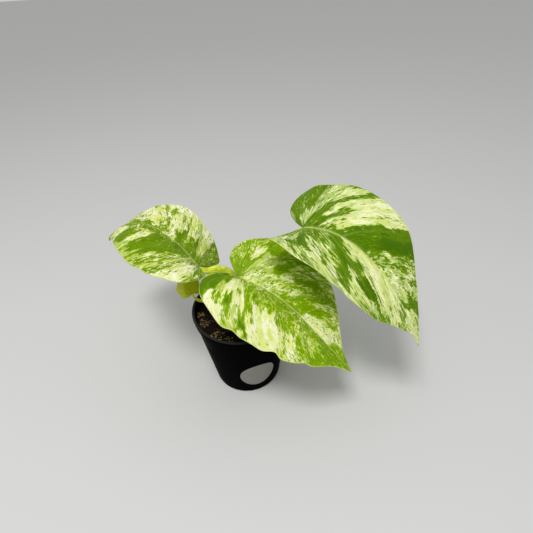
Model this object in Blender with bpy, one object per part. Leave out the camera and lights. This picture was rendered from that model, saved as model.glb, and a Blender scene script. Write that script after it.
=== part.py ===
import math
import bpy
import bmesh
import numpy as np

# Potted variegated pothos. Metres, +Z up; origin at the middle of the pot's base, the viewer stands at -Y.

mm = 0.001

# pot
pot_height = 62 * mm
pot_rim_radius = 32 * mm
pot_base_radius = 23 * mm
pot_wall = 1.0 * mm
pot_floor = 1.4 * mm
pot_band_height = 5.5 * mm
pot_band_step = 0.7 * mm
pot_foot_bevel = 0.8 * mm
pot_sides = 72
drain_hole_radius = 3 * mm
drain_hole_circle = 14.5 * mm
drain_hole_count = 5

# potting mix
gap = 0.3 * mm
soil_level = 56.5 * mm
soil_rings = 15
soil_sides = 44
soil_grain = 0.55 * mm

# label
label_radius = 12 * mm
label_height = 21 * mm
label_heading = -72.1
label_thickness = 0.35 * mm
label_gap = 0.25 * mm

# stem
stem_radius = 2.9 * mm
stem_foot = np.array((1.0, 9.0, 26.0)) * mm
trunk_sides = 12
tube_sides = 10

# leaves
blade_thickness = 0.65 * mm
lobe_steps = 14
rib_steps = 16
vein_steps = 6

# one half of a blade, in parts of the blade's length: width, how far the lobe reaches behind the base, where
# it is widest, the fullness half way, the narrowing at three quarters and the width of the drip tip, the bend
# of the lobe, the fold up from the midrib and its change towards the tip, the curl of the margin (degrees),
# then the height (mm) and number of the margin's waves
leaves = {
    "leaf_left": {
        "base": (-25.7, 15.1, 84.2), "heading": 138.0, "pitch": 37.4, "roll": 27.9, "length": 87.0,
        "bend": (0.20, 4.80, -2.56), "sweep": -0.367, "twist": -0.538,
        "left": {
            "width": 0.461, "lobe": 0.135, "widest": 0.174, "full": 0.77, "narrow": 0.44, "drip": 0.212,
            "lobe_bend": -2.52, "fold": 33.1, "fold_change": -39.8, "curl": 56.6, "wave": 0.7, "waves": 3.2},
        "right": {
            "width": 0.435, "lobe": 0.050, "widest": 0.162, "full": 0.894, "narrow": 0.473, "drip": 0.118,
            "lobe_bend": 0.85, "fold": -15.4, "fold_change": 23.9, "curl": -15.4, "wave": 0.6, "waves": 2.6},
        "color": (0.50, 0.60, 0.16)},
    "leaf_middle": {
        "base": (0.5, 3.5, 83.1), "heading": -25.9, "pitch": -3.8, "roll": -37.0, "length": 89.7,
        "bend": (1.17, -0.56, -0.99), "sweep": 0.29, "twist": 0.077,
        "left": {
            "width": 0.443, "lobe": 0.167, "widest": 0.168, "full": 0.844, "narrow": 0.392, "drip": 0.124,
            "lobe_bend": -0.09, "fold": 45.7, "fold_change": -4.8, "curl": 3.0, "wave": 0.7, "waves": 3.0},
        "right": {
            "width": 0.472, "lobe": 0.166, "widest": 0.162, "full": 0.835, "narrow": 0.502, "drip": 0.147,
            "lobe_bend": 1.49, "fold": 11.3, "fold_change": -36.6, "curl": 82.9, "wave": 0.8, "waves": 4.3},
        "color": (0.42, 0.58, 0.14)},
    "leaf_right": {
        "base": (43.0, 25.5, 102.0), "heading": -44.0, "pitch": 27.8, "roll": -8.2, "length": 105.0,
        "bend": (1.90, 0.37, -1.91), "sweep": -0.048, "twist": 0.227,
        "left": {
            "width": 0.429, "lobe": 0.225, "widest": 0.153, "full": 0.813, "narrow": 0.384, "drip": 0.181,
            "lobe_bend": -0.52, "fold": 35.3, "fold_change": -50.9, "curl": 19.9, "wave": 0.8, "waves": 3.1},
        "right": {
            "width": 0.364, "lobe": 0.050, "widest": 0.269, "full": 0.808, "narrow": 0.522, "drip": 0.132,
            "lobe_bend": 0.59, "fold": -5.8, "fold_change": -14.2, "curl": -31.7, "wave": 0.9, "waves": 4.6},
        "color": (0.34, 0.50, 0.13)},
    "leaf_young": {
        "base": (-30.6, 4.0, 72.2), "heading": 107.0, "pitch": 56.6, "roll": 22.2, "length": 22.9,
        "bend": (0.2, 0.6, 0.0), "sweep": 0.0, "twist": 0.0,
        "left": {
            "width": 0.367, "lobe": 0.097, "widest": 0.17, "full": 0.83, "narrow": 0.46, "drip": 0.15,
            "lobe_bend": 0.61, "fold": 5.9, "fold_change": 0.0, "curl": 36.3, "wave": 0.15, "waves": 2.0},
        "right": {
            "width": 0.356, "lobe": 0.075, "widest": 0.16, "full": 0.84, "narrow": 0.46, "drip": 0.15,
            "lobe_bend": 0.67, "fold": 2.4, "fold_change": 0.0, "curl": 42.9, "wave": 0.15, "waves": 2.0},
        "color": (0.46, 0.50, 0.16)},
}


def clear_scene():
    for ob in list(bpy.data.objects):
        bpy.data.objects.remove(ob, do_unlink=True)
    for mesh in list(bpy.data.meshes):
        bpy.data.meshes.remove(mesh)


def material(name, color, roughness, metallic=0.0):
    mat = bpy.data.materials.new(name)
    mat.use_nodes = True
    shader = mat.node_tree.nodes["Principled BSDF"]
    shader.inputs["Base Color"].default_value = (*color, 1.0)
    shader.inputs["Roughness"].default_value = roughness
    shader.inputs["Metallic"].default_value = metallic
    mat.diffuse_color = (*color, 1.0)
    return mat


def new_object(name, bm, mat, smooth=40):
    mesh = bpy.data.meshes.new(name)
    bmesh.ops.recalc_face_normals(bm, faces=bm.faces)
    if bm.calc_volume(signed=True) < 0:
        bmesh.ops.reverse_faces(bm, faces=bm.faces)
    bm.to_mesh(mesh)
    bm.free()
    mesh.materials.append(mat)
    ob = bpy.data.objects.new(name, mesh)
    bpy.context.scene.collection.objects.link(ob)
    mesh.shade_smooth()
    mesh.set_sharp_from_angle(angle=math.radians(smooth))
    return ob


def apply_modifiers(ob):
    depsgraph = bpy.context.evaluated_depsgraph_get()
    mesh = bpy.data.meshes.new_from_object(ob.evaluated_get(depsgraph))
    ob.modifiers.clear()
    old = ob.data
    ob.data = mesh
    bpy.data.meshes.remove(old)


def boolean(ob, other, operation):
    mod = ob.modifiers.new(operation.lower(), "BOOLEAN")
    mod.operation = operation
    mod.solver = "EXACT"
    mod.object = other
    apply_modifiers(ob)
    bpy.data.objects.remove(other, do_unlink=True)


def turned(profile, sides):
    """faces around Z from a (radius, height) outline that starts and ends with a flat disc"""
    bm = bmesh.new()
    angles = [2 * math.pi * k / sides for k in range(sides)]
    rings = [[bm.verts.new((radius * math.cos(a), radius * math.sin(a), height)) for a in angles]
             for radius, height in profile]
    for low, high in zip(rings[:-1], rings[1:]):
        for k in range(sides):
            n = (k + 1) % sides
            bm.faces.new((low[k], low[n], high[n], high[k]))
    bm.faces.new(list(reversed(rings[0])))
    bm.faces.new(rings[-1])
    return bm


def pot_radius(z):
    """outer radius of the wall below the rim band"""
    return pot_base_radius + (pot_rim_radius - pot_band_step - pot_base_radius) * z / pot_height


def build_pot():
    band_low = pot_height - pot_band_height
    band_radius = pot_radius(band_low) + pot_band_step
    inner_low = pot_radius(pot_floor) - pot_wall
    profile = [
        (pot_base_radius - pot_foot_bevel, 0.0),
        (pot_radius(pot_foot_bevel), pot_foot_bevel),
        (pot_radius(band_low), band_low),
        (band_radius, band_low + 0.5 * mm),
        (pot_rim_radius, pot_height - 0.3 * mm),
        (pot_rim_radius - 0.3 * mm, pot_height),
        (pot_rim_radius - pot_band_step - pot_wall + 0.3 * mm, pot_height),
        (pot_rim_radius - pot_band_step - pot_wall, pot_height - 0.3 * mm),
        (inner_low, pot_floor + 0.4 * mm),
        (inner_low - 0.6 * mm, pot_floor),
    ]
    pot = new_object("pot", turned(profile, pot_sides), material("pot_plastic", (0.012, 0.012, 0.014), 0.38))
    for k in range(drain_hole_count):
        angle = 2 * math.pi * (k + 0.25) / drain_hole_count
        cutter = bmesh.new()
        bmesh.ops.create_cone(cutter, cap_ends=True, segments=20, radius1=drain_hole_radius,
                              radius2=drain_hole_radius, depth=10 * mm)
        bmesh.ops.translate(cutter, verts=cutter.verts, vec=(drain_hole_circle * math.cos(angle),
                                                            drain_hole_circle * math.sin(angle), 0))
        boolean(pot, new_object("drain_cutter", cutter, pot.data.materials[0]), "DIFFERENCE")
    return pot


def soil_heights(x, y):
    """loose surface of the mix: grains by a sum of sines, and chunks as small domes at seeded places"""
    rng = np.random.default_rng(12)
    z = np.full_like(x, soil_level)
    for k in range(5):
        a = rng.uniform(0, 2 * math.pi)
        w = rng.uniform(700, 1500)
        z = z + soil_grain * 0.45 * np.sin(w * (x * math.cos(a) + y * math.sin(a)) + rng.uniform(0, 6))
    for k in range(60):
        r = 28 * mm * math.sqrt(rng.uniform())
        a = rng.uniform(0, 2 * math.pi)
        size = rng.uniform(1.8, 3.4) * mm
        d = np.hypot(x - r * math.cos(a), y - r * math.sin(a)) / size
        z = z + rng.uniform(0.5, 1.5) * mm * np.clip(1 - d ** 2, 0, 1) ** 0.7
    for cx, cy, size, rise in ((-27, -5, 6, 2.4), (-23, -13, 5, 1.6), (-14, -22, 6, 2.8), (-7, -26, 4, 1.4)):
        d = np.hypot(x - cx * mm, y - cy * mm) / (size * mm)
        z = z + rise * mm * np.clip(1 - d ** 2, 0, 1)
    return np.minimum(z, pot_height + 0.5 * mm)


def build_soil():
    inner_top = pot_rim_radius - pot_band_step - pot_wall
    inner_low = pot_radius(pot_floor) - pot_wall

    def inside(z):
        """largest radius of the mix at height z, a gap short of the pot's inner wall"""
        share = (z - pot_floor) / (pot_height - pot_floor)
        return inner_low + (inner_top - inner_low) * share - gap - 0.1 * mm

    bm = bmesh.new()
    low = pot_floor + gap
    radii = np.linspace(0, 1, soil_rings + 1)[1:]
    edge = inside(soil_level - 1.5 * mm)
    centre_z = float(soil_heights(np.array([0.0]), np.array([0.0]))[0])
    centre = bm.verts.new((0, 0, centre_z))
    rings = []
    for i, r in enumerate(radii):
        angles = 2 * math.pi * (np.arange(soil_sides) + 0.5 * (i % 2)) / soil_sides
        x = edge * r * np.cos(angles)
        y = edge * r * np.sin(angles)
        z = soil_heights(x, y)
        if i == len(radii) - 1:
            z = np.minimum(z, soil_level + 0.8 * mm)
        rings.append([bm.verts.new((x[k], y[k], z[k])) for k in range(soil_sides)])
    for k in range(soil_sides):
        bm.faces.new((centre, rings[0][k], rings[0][(k + 1) % soil_sides]))
    for i, (a, b) in enumerate(zip(rings[:-1], rings[1:])):
        for k in range(soil_sides):
            n = (k + 1) % soil_sides
            if i % 2 == 0:
                bm.faces.new((a[k], b[k], b[n]))
                bm.faces.new((a[k], b[n], a[n]))
            else:
                bm.faces.new((a[k], b[k], a[n]))
                bm.faces.new((a[n], b[k], b[n]))
    last = rings[-1]
    shift = 0.5 * ((len(radii) - 1) % 2)
    for radius, z in ((edge, soil_level - 1.5 * mm), (inside(low + 0.6 * mm) - 0.2 * mm, low + 0.6 * mm),
                      (inside(low) - 0.9 * mm, low)):
        ring = [bm.verts.new((radius * math.cos(2 * math.pi * (k + shift) / soil_sides),
                              radius * math.sin(2 * math.pi * (k + shift) / soil_sides), z))
                for k in range(soil_sides)]
        for k in range(soil_sides):
            n = (k + 1) % soil_sides
            bm.faces.new((last[k], ring[k], ring[n], last[n]))
        last = ring
    bm.faces.new(list(reversed(last)))
    soil = new_object("soil", bm, material("potting_mix", (0.045, 0.028, 0.018), 0.95), 180)
    hole = bmesh.new()
    top = soil_level + 12 * mm
    bottom = stem_foot[2] - gap
    bmesh.ops.create_cone(hole, cap_ends=True, segments=20, radius1=stem_radius + gap,
                          radius2=stem_radius + gap, depth=top - bottom)
    bmesh.ops.translate(hole, verts=hole.verts, vec=(stem_foot[0], stem_foot[1], 0.5 * (top + bottom)))
    boolean(soil, new_object("stem_hole_cutter", hole, soil.data.materials[0]), "DIFFERENCE")
    return soil


def build_label():
    """a disc that follows the tapered wall"""
    rings, sides = 5, 40
    slope = (pot_rim_radius - pot_band_step - pot_base_radius) / pot_height
    centre_angle = math.radians(label_heading)
    wall = pot_radius(label_height)

    def point(r, a, lift):
        z = label_height + r * math.sin(a) / math.hypot(1, slope)
        radius = pot_radius(z) + label_gap + lift
        angle = centre_angle + r * math.cos(a) / wall
        return radius * math.cos(angle), radius * math.sin(angle), z - slope * lift

    bm = bmesh.new()
    faces = []
    for lift in (0.0, label_thickness):
        grid = [[bm.verts.new(point(0, 0, lift))]]
        for i in range(1, rings + 1):
            grid.append([bm.verts.new(point(label_radius * i / rings, 2 * math.pi * k / sides, lift))
                         for k in range(sides)])
        for i in range(rings):
            for k in range(sides):
                n = (k + 1) % sides
                if i == 0:
                    bm.faces.new((grid[0][0], grid[1][k], grid[1][n]))
                else:
                    bm.faces.new((grid[i][k], grid[i + 1][k], grid[i + 1][n]))
                    bm.faces.new((grid[i][k], grid[i + 1][n], grid[i][n]))
        faces.append(grid[-1])
    for k in range(sides):
        n = (k + 1) % sides
        bm.faces.new((faces[0][k], faces[0][n], faces[1][n], faces[1][k]))
    return new_object("label", bm, material("label_paper", (0.62, 0.62, 0.60), 0.6))


def smooth_line(points, count):
    """Catmull-Rom curve through the points, evenly resampled"""
    p = np.asarray(points, float)
    ends = np.vstack([2 * p[0] - p[1], p, 2 * p[-1] - p[-2]])
    t = np.linspace(0, 1, 16, endpoint=False)[:, None]
    curve = []
    for i in range(len(p) - 1):
        a, b, c, d = ends[i:i + 4]
        curve.append(0.5 * (2 * b + (c - a) * t + (2 * a - 5 * b + 4 * c - d) * t ** 2
                            + (-a + 3 * b - 3 * c + d) * t ** 3))
    curve = np.vstack(curve + [p[-1:]])
    run = np.concatenate([[0], np.cumsum(np.linalg.norm(np.diff(curve, axis=0), axis=1))])
    s = np.linspace(0, run[-1], count)
    return np.stack([np.interp(s, run, curve[:, j]) for j in range(curve.shape[1])], -1)


def margin_line(half, count):
    """flat outline of one half from the notch round the lobe to the tip; x along the midrib, y outwards"""
    w = half["width"]
    lobe = half["lobe"]
    return smooth_line([(0, 0), (-0.45 * lobe, 0.13 * w), (-0.92 * lobe, 0.36 * w), (-0.92 * lobe, 0.66 * w),
                        (-0.35 * lobe, 0.90 * w), (half["widest"], w), (0.5, half["full"] * w),
                        (0.75, half["narrow"] * w), (0.90, half["drip"] * w), (1, 0)], count)


def midrib_frame(leaf, x, lobe_bend):
    """point, normal and side direction of the midrib at x; behind the base it runs on as an arc"""
    k0, k1, k2 = leaf["bend"]
    s = np.linspace(0, 1, 201)
    down = k0 * s + k1 * s ** 2 / 2 + k2 * s ** 3 / 3
    aside = leaf["sweep"] * s ** 2
    step = np.stack([np.cos(down) * np.cos(aside), np.cos(down) * np.sin(aside), -np.sin(down)], -1)
    line = np.vstack([np.zeros(3), np.cumsum(0.5 * (step[1:] + step[:-1]) / 200, axis=0)])
    ahead = np.clip(x, 0, 1)
    back = np.maximum(-x, 0)
    point = np.stack([np.interp(ahead, s, line[:, j]) for j in range(3)], -1)
    angle = lobe_bend * back
    point[:, 0] -= np.sin(angle) / lobe_bend
    point[:, 2] -= (1 - np.cos(angle)) / lobe_bend
    down = np.interp(ahead, s, down) - angle
    aside = np.interp(ahead, s, aside)
    normal = np.stack([np.sin(down) * np.cos(aside), np.sin(down) * np.sin(aside), np.cos(down)], -1)
    side = np.stack([-np.sin(aside), np.cos(aside), np.zeros_like(aside)], -1)
    turn = (leaf["twist"] * ahead)[:, None]
    return (point, normal * np.cos(turn) - side * np.sin(turn), side * np.cos(turn) + normal * np.sin(turn))


def turn_matrix(leaf):
    y, p, r = np.radians([leaf["heading"], leaf["pitch"], leaf["roll"]])
    about_z = np.array([[np.cos(y), -np.sin(y), 0], [np.sin(y), np.cos(y), 0], [0, 0, 1]])
    about_y = np.array([[np.cos(p), 0, -np.sin(p)], [0, 1, 0], [np.sin(p), 0, np.cos(p)]])
    about_x = np.array([[1, 0, 0], [0, np.cos(r), -np.sin(r)], [0, np.sin(r), np.cos(r)]])
    return about_z @ about_y @ about_x


def blade_point(leaf, side, x, y, across=None, along=None):
    """bent blade: across the half, the angle to the midrib starts at the fold and turns down to the margin"""
    half = leaf["left"] if side > 0 else leaf["right"]
    point, normal, aside = midrib_frame(leaf, x, half["lobe_bend"])
    w = half["width"]
    fold = np.radians(half["fold"] + half["fold_change"] * np.clip(x, -0.1, 1))
    curl = math.radians(half["curl"])
    v = y / w
    out = w * (np.sin(fold) - np.sin(fold - curl * v)) / curl
    lift = w * (np.cos(fold - curl * v) - np.cos(fold)) / curl
    if across is not None:
        wave = half["wave"] * mm / (leaf["length"] * mm)
        ripple = np.sin(2 * math.pi * half["waves"] * along + side) * np.sin(math.pi * along)
        lift = lift + wave * across ** 3 * ripple
    local = (point + aside * (side * out)[:, None] + normal * lift[:, None]) * leaf["length"]
    return (np.array(leaf["base"]) + local @ turn_matrix(leaf).T) * mm


def blade_grid(leaf, side, fan_rows, rib_rows, columns):
    """flat x and y along each side vein, from the midrib (or the base, for the lobe) to the margin"""
    half = leaf["left"] if side > 0 else leaf["right"]
    edge = margin_line(half, 401)
    slant = 0.4 + 0.9 * np.clip(edge[:, 0], 0, 1)
    start = np.maximum(0, edge[:, 0] - slant * edge[:, 1])
    fan_end = int(np.nonzero(start <= 0)[0][-1])
    stations = np.linspace(0, 1, rib_rows + 1)[1:]
    place = np.concatenate([np.linspace(0, fan_end, fan_rows),
                            np.interp(stations, start[fan_end:], np.arange(fan_end, 401))])
    start = np.concatenate([np.zeros(fan_rows), stations])[:, None]
    edge_x = np.interp(place, np.arange(401), edge[:, 0])[:, None]
    edge_y = np.interp(place, np.arange(401), edge[:, 1])[:, None]
    t = np.linspace(0, 1, columns + 1)
    x = start + (edge_x - start) * t
    y = np.maximum(edge_y, 0) * t
    along = np.broadcast_to(place[:, None] / 400, x.shape)
    return x, y, np.broadcast_to(t, x.shape), along


def build_leaf(name, leaf):
    size = leaf["length"]
    index = {}
    flat = []
    triangles = []
    fan_rows, rib_rows, columns = (lobe_steps, rib_steps, vein_steps) if size > 40 else (8, 8, 4)
    for side in (1, -1):
        x, y, t, m = blade_grid(leaf, side, fan_rows, rib_rows, columns)
        ids = np.zeros(x.shape, int)
        for i in range(x.shape[0]):
            for j in range(x.shape[1]):
                key = (round(x[i, j] * 4000), side * round(y[i, j] * 4000))
                if key not in index:
                    index[key] = len(flat)
                    flat.append((x[i, j], y[i, j], side, t[i, j], m[i, j]))
                ids[i, j] = index[key]
        for i in range(x.shape[0] - 1):
            for j in range(x.shape[1] - 1):
                a, b, c, d = ids[i, j], ids[i + 1, j], ids[i + 1, j + 1], ids[i, j + 1]
                for tri in ((a, b, c), (a, c, d)):
                    if len(set(tri)) == 3:
                        triangles.append(tri if side > 0 else tri[::-1])
    flat = np.array(flat)
    top = np.zeros((len(flat), 3))
    normal = np.zeros((len(flat), 3))
    e = 1e-3
    for side in (1, -1):
        own = flat[:, 2] == side
        rib = flat[:, 1] < 1e-6
        use = own | rib
        x, y, t, m = flat[use, 0], flat[use, 1], flat[use, 3], flat[use, 4]
        here = blade_point(leaf, side, x, y, t, m)
        dx = blade_point(leaf, side, x + e, y, t, m) - blade_point(leaf, side, x - e, y, t, m)
        dy = blade_point(leaf, side, x, y + e, t, m) - here
        n = np.cross(dx, dy) * side
        n /= np.linalg.norm(n, axis=1)[:, None]
        top[use] = here
        normal[use] += n
    normal /= np.linalg.norm(normal, axis=1)[:, None]
    half_thickness = 0.5 * blade_thickness
    bm = bmesh.new()
    upper = [bm.verts.new(p) for p in top + normal * half_thickness]
    lower = [bm.verts.new(p) for p in top - normal * half_thickness]
    edges = {}
    for a, b, c in triangles:
        bm.faces.new((upper[a], upper[b], upper[c]))
        bm.faces.new((lower[a], lower[c], lower[b]))
        for p, q in ((a, b), (b, c), (c, a)):
            edges[(p, q)] = edges.get((p, q), 0) + 1
    for p, q in edges:
        if (q, p) not in edges:
            bm.faces.new((upper[q], upper[p], lower[p]))
            bm.faces.new((upper[q], lower[p], lower[q]))
    return new_object(name, bm, material(name + "_skin", leaf["color"], 0.42))


def tube(points, radii, flatten, sides, flat_axis=(0, -0.6, 0.8), count=14):
    """closed tube along a smooth curve; flatten narrows it along flat_axis"""
    table = np.hstack([np.asarray(points, float), np.asarray(radii, float)[:, None]])
    line = smooth_line(table, count)
    centre = line[:, :3] * mm
    radius = line[:, 3] * mm
    tangent = np.gradient(centre, axis=0)
    tangent /= np.linalg.norm(tangent, axis=1)[:, None]
    bm = bmesh.new()
    rings = []
    for c, r, t in zip(centre, radius, tangent):
        thin = np.array(flat_axis) - t * np.dot(flat_axis, t)
        thin /= np.linalg.norm(thin)
        wide = np.cross(t, thin)
        ring = []
        for k in range(sides):
            a = 2 * math.pi * k / sides
            ring.append(bm.verts.new(c + r * (wide * math.cos(a) + flatten * thin * math.sin(a))))
        rings.append(ring)
    for low, high in zip(rings[:-1], rings[1:]):
        for k in range(sides):
            n = (k + 1) % sides
            bm.faces.new((low[k], low[n], high[n], high[k]))
    bm.faces.new(list(reversed(rings[0])))
    bm.faces.new(rings[-1])
    return bm


# centre lines in mm, with the radius at each point
stem_pieces = {
    "trunk": {
        "points": (tuple(stem_foot / mm), (1.0, 9.0, 61.0), (0.8, 9.2, 65.0), (0.2, 9.8, 69.0)),
        "radii": (stem_radius / mm, stem_radius / mm, 2.7, 2.2), "flatten": 1.0},
    "petiole_left": {
        "points": ((-24.8, 14.8, 83.3), (-22.4, 14.4, 81.3), (-19.5, 14.8, 79.9), (-15.0, 16.3, 79.7),
                   (-10.8, 17.6, 78.0), (-7.2, 18.1, 75.4), (-4.8, 17.5, 72.5), (-2.6, 15.2, 68.2),
                   (0.3, 11.0, 63.8)),
        "radii": (0.9, 1.2, 1.7, 2.2, 2.35, 2.35, 2.35, 2.4, 2.3), "flatten": 0.62},
    "petiole_middle": {
        "points": ((-0.7, 3.4, 82.0), (-2.2, 3.0, 80.0), (-3.3, 4.6, 76.0), (-1.8, 7.4, 70.5),
                   (0.6, 9.2, 65.0)),
        "radii": (0.9, 1.2, 1.3, 1.5, 1.8), "flatten": 0.9},
    "petiole_right": {
        "points": ((42.2, 26.2, 100.6), (39.2, 29.2, 97.4), (35.6, 33.0, 91.8), (28.5, 32.5, 82.0),
                   (17.0, 23.5, 71.5), (7.5, 14.0, 65.5), (1.6, 9.6, 62.5)),
        "radii": (0.9, 1.15, 1.2, 1.4, 1.7, 2.0, 2.1), "flatten": 0.9},
    "stalk": {
        "points": ((-30.35, 3.3, 71.1), (-29.5, 2.6, 69.3), (-25.6, 3.6, 64.9), (-15.0, 6.2, 61.4),
                   (-6.0, 8.0, 61.2), (0.4, 9.2, 62.0)),
        "radii": (0.75, 0.9, 1.0, 1.1, 1.2, 1.4), "flatten": 1.0},
}


def build_stem():
    mat = material("petiole_skin", (0.36, 0.42, 0.10), 0.45)
    stem = None
    for name, piece in stem_pieces.items():
        sides = trunk_sides if name == "trunk" else tube_sides
        bm = tube(piece["points"], piece["radii"], piece["flatten"], sides)
        ob = new_object("stem" if stem is None else name, bm, mat, 60)
        if stem is None:
            stem = ob
        else:
            boolean(stem, ob, "UNION")
    return stem


def main():
    clear_scene()
    build_pot()
    build_soil()
    build_label()
    build_stem()
    for name, leaf in leaves.items():
        build_leaf(name, leaf)


main()
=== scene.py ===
import math
import bpy
import numpy as np
from mathutils import Matrix, Vector


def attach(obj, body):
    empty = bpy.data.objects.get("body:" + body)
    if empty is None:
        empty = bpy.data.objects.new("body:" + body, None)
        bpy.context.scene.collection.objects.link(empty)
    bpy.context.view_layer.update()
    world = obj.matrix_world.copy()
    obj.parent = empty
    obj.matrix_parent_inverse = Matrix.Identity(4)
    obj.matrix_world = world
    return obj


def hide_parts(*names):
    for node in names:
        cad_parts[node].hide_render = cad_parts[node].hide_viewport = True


# Potted variegated pothos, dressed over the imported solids.
# Lengths are millimetres in the dictionaries and metres in the meshes. The viewer stands at -Y.

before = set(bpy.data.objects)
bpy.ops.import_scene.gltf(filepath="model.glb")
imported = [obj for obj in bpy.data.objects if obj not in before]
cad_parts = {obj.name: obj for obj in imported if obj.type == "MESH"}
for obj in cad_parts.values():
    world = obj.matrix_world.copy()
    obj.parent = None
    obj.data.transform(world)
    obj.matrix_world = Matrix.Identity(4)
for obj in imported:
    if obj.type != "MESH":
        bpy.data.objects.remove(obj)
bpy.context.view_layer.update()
mm = 0.001


# Puts points (mm) and faces into a closed mesh at the origin. cornerIds picks, for each face corner, the
# entry of every array in surfaceData; "surface" becomes the UV map and the others become attributes.
def makePiece(name, points, faces, mat, replaced=(), surfaceData=None, cornerIds=None, sharpAngle=60):
    mesh = bpy.data.meshes.new(name)
    mesh.from_pydata((np.asarray(points) * mm).tolist(), [], faces)
    if cornerIds is None:
        cornerIds = np.concatenate([np.ravel(f) for f in faces]).astype(int)
    for label, values in (surfaceData or {}).items():
        if label == "surface":
            layer = mesh.uv_layers.new(name="surface")
            layer.data.foreach_set("uv", np.ravel(values[cornerIds]).astype(np.float32))
        else:
            layer = mesh.attributes.new(label, "FLOAT", "CORNER")
            layer.data.foreach_set("value", values[cornerIds].astype(np.float32))
    mesh.materials.append(mat)
    mesh.shade_smooth()
    mesh.set_sharp_from_angle(angle=math.radians(sharpAngle))
    piece = bpy.data.objects.new(name, mesh)
    bpy.context.scene.collection.objects.link(piece)
    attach(piece, "root")
    if replaced:
        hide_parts(*replaced)
    return piece


# Faces of a closed tube of rings whose two ends run to the pole points that follow the rings' points.
def ringFaces(rings, sides, flipped=False):
    ids = np.arange(rings * sides).reshape(rings, sides)
    after = np.roll(ids, -1, axis=1)
    quads = np.stack([ids[:-1], after[:-1], after[1:], ids[1:]], -1).reshape(-1, 4)
    low, high = rings * sides, rings * sides + 1
    caps = np.vstack([np.stack([after[0], ids[0], np.full(sides, low)], -1),
                      np.stack([ids[-1], after[-1], np.full(sides, high)], -1)])
    if flipped:
        quads, caps = quads[:, [0, 3, 2, 1]], caps[:, ::-1]
    return quads.tolist() + caps.tolist()


# Catmull-Rom curve through the points, resampled at even steps of its length.
def smoothLine(points, count):
    p = np.asarray(points, float)
    ends = np.vstack([2 * p[0] - p[1], p, 2 * p[-1] - p[-2]])
    t = np.linspace(0, 1, 16, endpoint=False)[:, None]
    curve = []
    for i in range(len(p) - 1):
        a, b, c, d = ends[i:i + 4]
        curve.append(0.5 * (2 * b + (c - a) * t + (2 * a - 5 * b + 4 * c - d) * t ** 2
                            + (-a + 3 * b - 3 * c + d) * t ** 3))
    curve = np.vstack(curve + [p[-1:]])
    run = np.concatenate([[0], np.cumsum(np.linalg.norm(np.diff(curve, axis=0), axis=1))])
    s = np.linspace(0, run[-1], count)
    return np.stack([np.interp(s, run, curve[:, j]) for j in range(curve.shape[1])], -1)


# 0 below low, 1 above high, with a soft S between them.
def ramp(x, low, high):
    t = np.clip((x - low) / (high - low), 0, 1)
    return t * t * (3 - 2 * t)


# Smooth random heights: values of a seeded lattice, blended with an S-curve between its points.
def latticeNoise(x, y, cell, seed):
    cells = 64
    lattice = np.random.default_rng(seed).uniform(-1, 1, (cells, cells))
    gx, gy = x / cell + 10 * cells, y / cell + 10 * cells
    ix, iy = np.floor(gx).astype(int), np.floor(gy).astype(int)
    fx, fy = ramp(gx - ix, 0, 1), ramp(gy - iy, 0, 1)
    ix, iy, nextX, nextY = ix % cells, iy % cells, (ix + 1) % cells, (iy + 1) % cells
    low = lattice[ix, iy] * (1 - fx) + lattice[nextX, iy] * fx
    high = lattice[ix, nextY] * (1 - fx) + lattice[nextX, nextY] * fx
    return low * (1 - fy) + high * fy


# Node helpers: put() sets a socket from a number, a colour or another node's output.
def put(tree, socket, value):
    if isinstance(value, bpy.types.NodeSocket):
        tree.links.new(value, socket)
    elif hasattr(value, "__len__") and len(value) == 3 and socket.type == "RGBA":
        socket.default_value = (*value, 1.0)
    else:
        socket.default_value = value


def calc(tree, operation, *values, clamp=False):
    node = tree.nodes.new("ShaderNodeMath")
    node.operation = operation
    node.use_clamp = clamp
    for socket, value in zip(node.inputs, values):
        put(tree, socket, value)
    return node.outputs[0]


def mapped(tree, value, low, high, toLow=0.0, toHigh=1.0):
    node = tree.nodes.new("ShaderNodeMapRange")
    node.interpolation_type = "SMOOTHSTEP"
    node.clamp = True
    for socket, v in zip(node.inputs, (value, low, high, toLow, toHigh)):
        put(tree, socket, v)
    return node.outputs[0]


def mixed(tree, share, first, second):
    node = tree.nodes.new("ShaderNodeMix")
    node.data_type = "RGBA"
    put(tree, node.inputs["Factor"], share)
    put(tree, node.inputs[6], first)
    put(tree, node.inputs[7], second)
    return node.outputs[2]


def noise(tree, vector, scale, detail=3.0, roughness=0.5, distortion=0.0):
    node = tree.nodes.new("ShaderNodeTexNoise")
    for label, value in (("Vector", vector), ("Scale", scale), ("Detail", detail),
                         ("Roughness", roughness), ("Distortion", distortion)):
        put(tree, node.inputs[label], value)
    return node.outputs["Fac"]


def attribute(tree, label):
    node = tree.nodes.new("ShaderNodeAttribute")
    node.attribute_name = label
    return node.outputs["Fac"]


def objectPlace(tree):
    return tree.nodes.new("ShaderNodeTexCoord").outputs["Object"]


def bump(tree, height, distance, strength=1.0):
    node = tree.nodes.new("ShaderNodeBump")
    for label, value in (("Height", height), ("Distance", distance), ("Strength", strength)):
        put(tree, node.inputs[label], value)
    return node.outputs["Normal"]


def newGroup(name, inputs, outputs):
    group = bpy.data.node_groups.new(name, "ShaderNodeTree")
    for label, kind in inputs.items():
        group.interface.new_socket(label, in_out="INPUT", socket_type="NodeSocket" + kind)
    for label, kind in outputs.items():
        group.interface.new_socket(label, in_out="OUTPUT", socket_type="NodeSocket" + kind)
    return group, group.nodes.new("NodeGroupInput").outputs, group.nodes.new("NodeGroupOutput").inputs


def useGroup(tree, group, **values):
    node = tree.nodes.new("ShaderNodeGroup")
    node.node_tree = group
    for label, value in values.items():
        put(tree, node.inputs[label], value)
    return node.outputs


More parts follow.
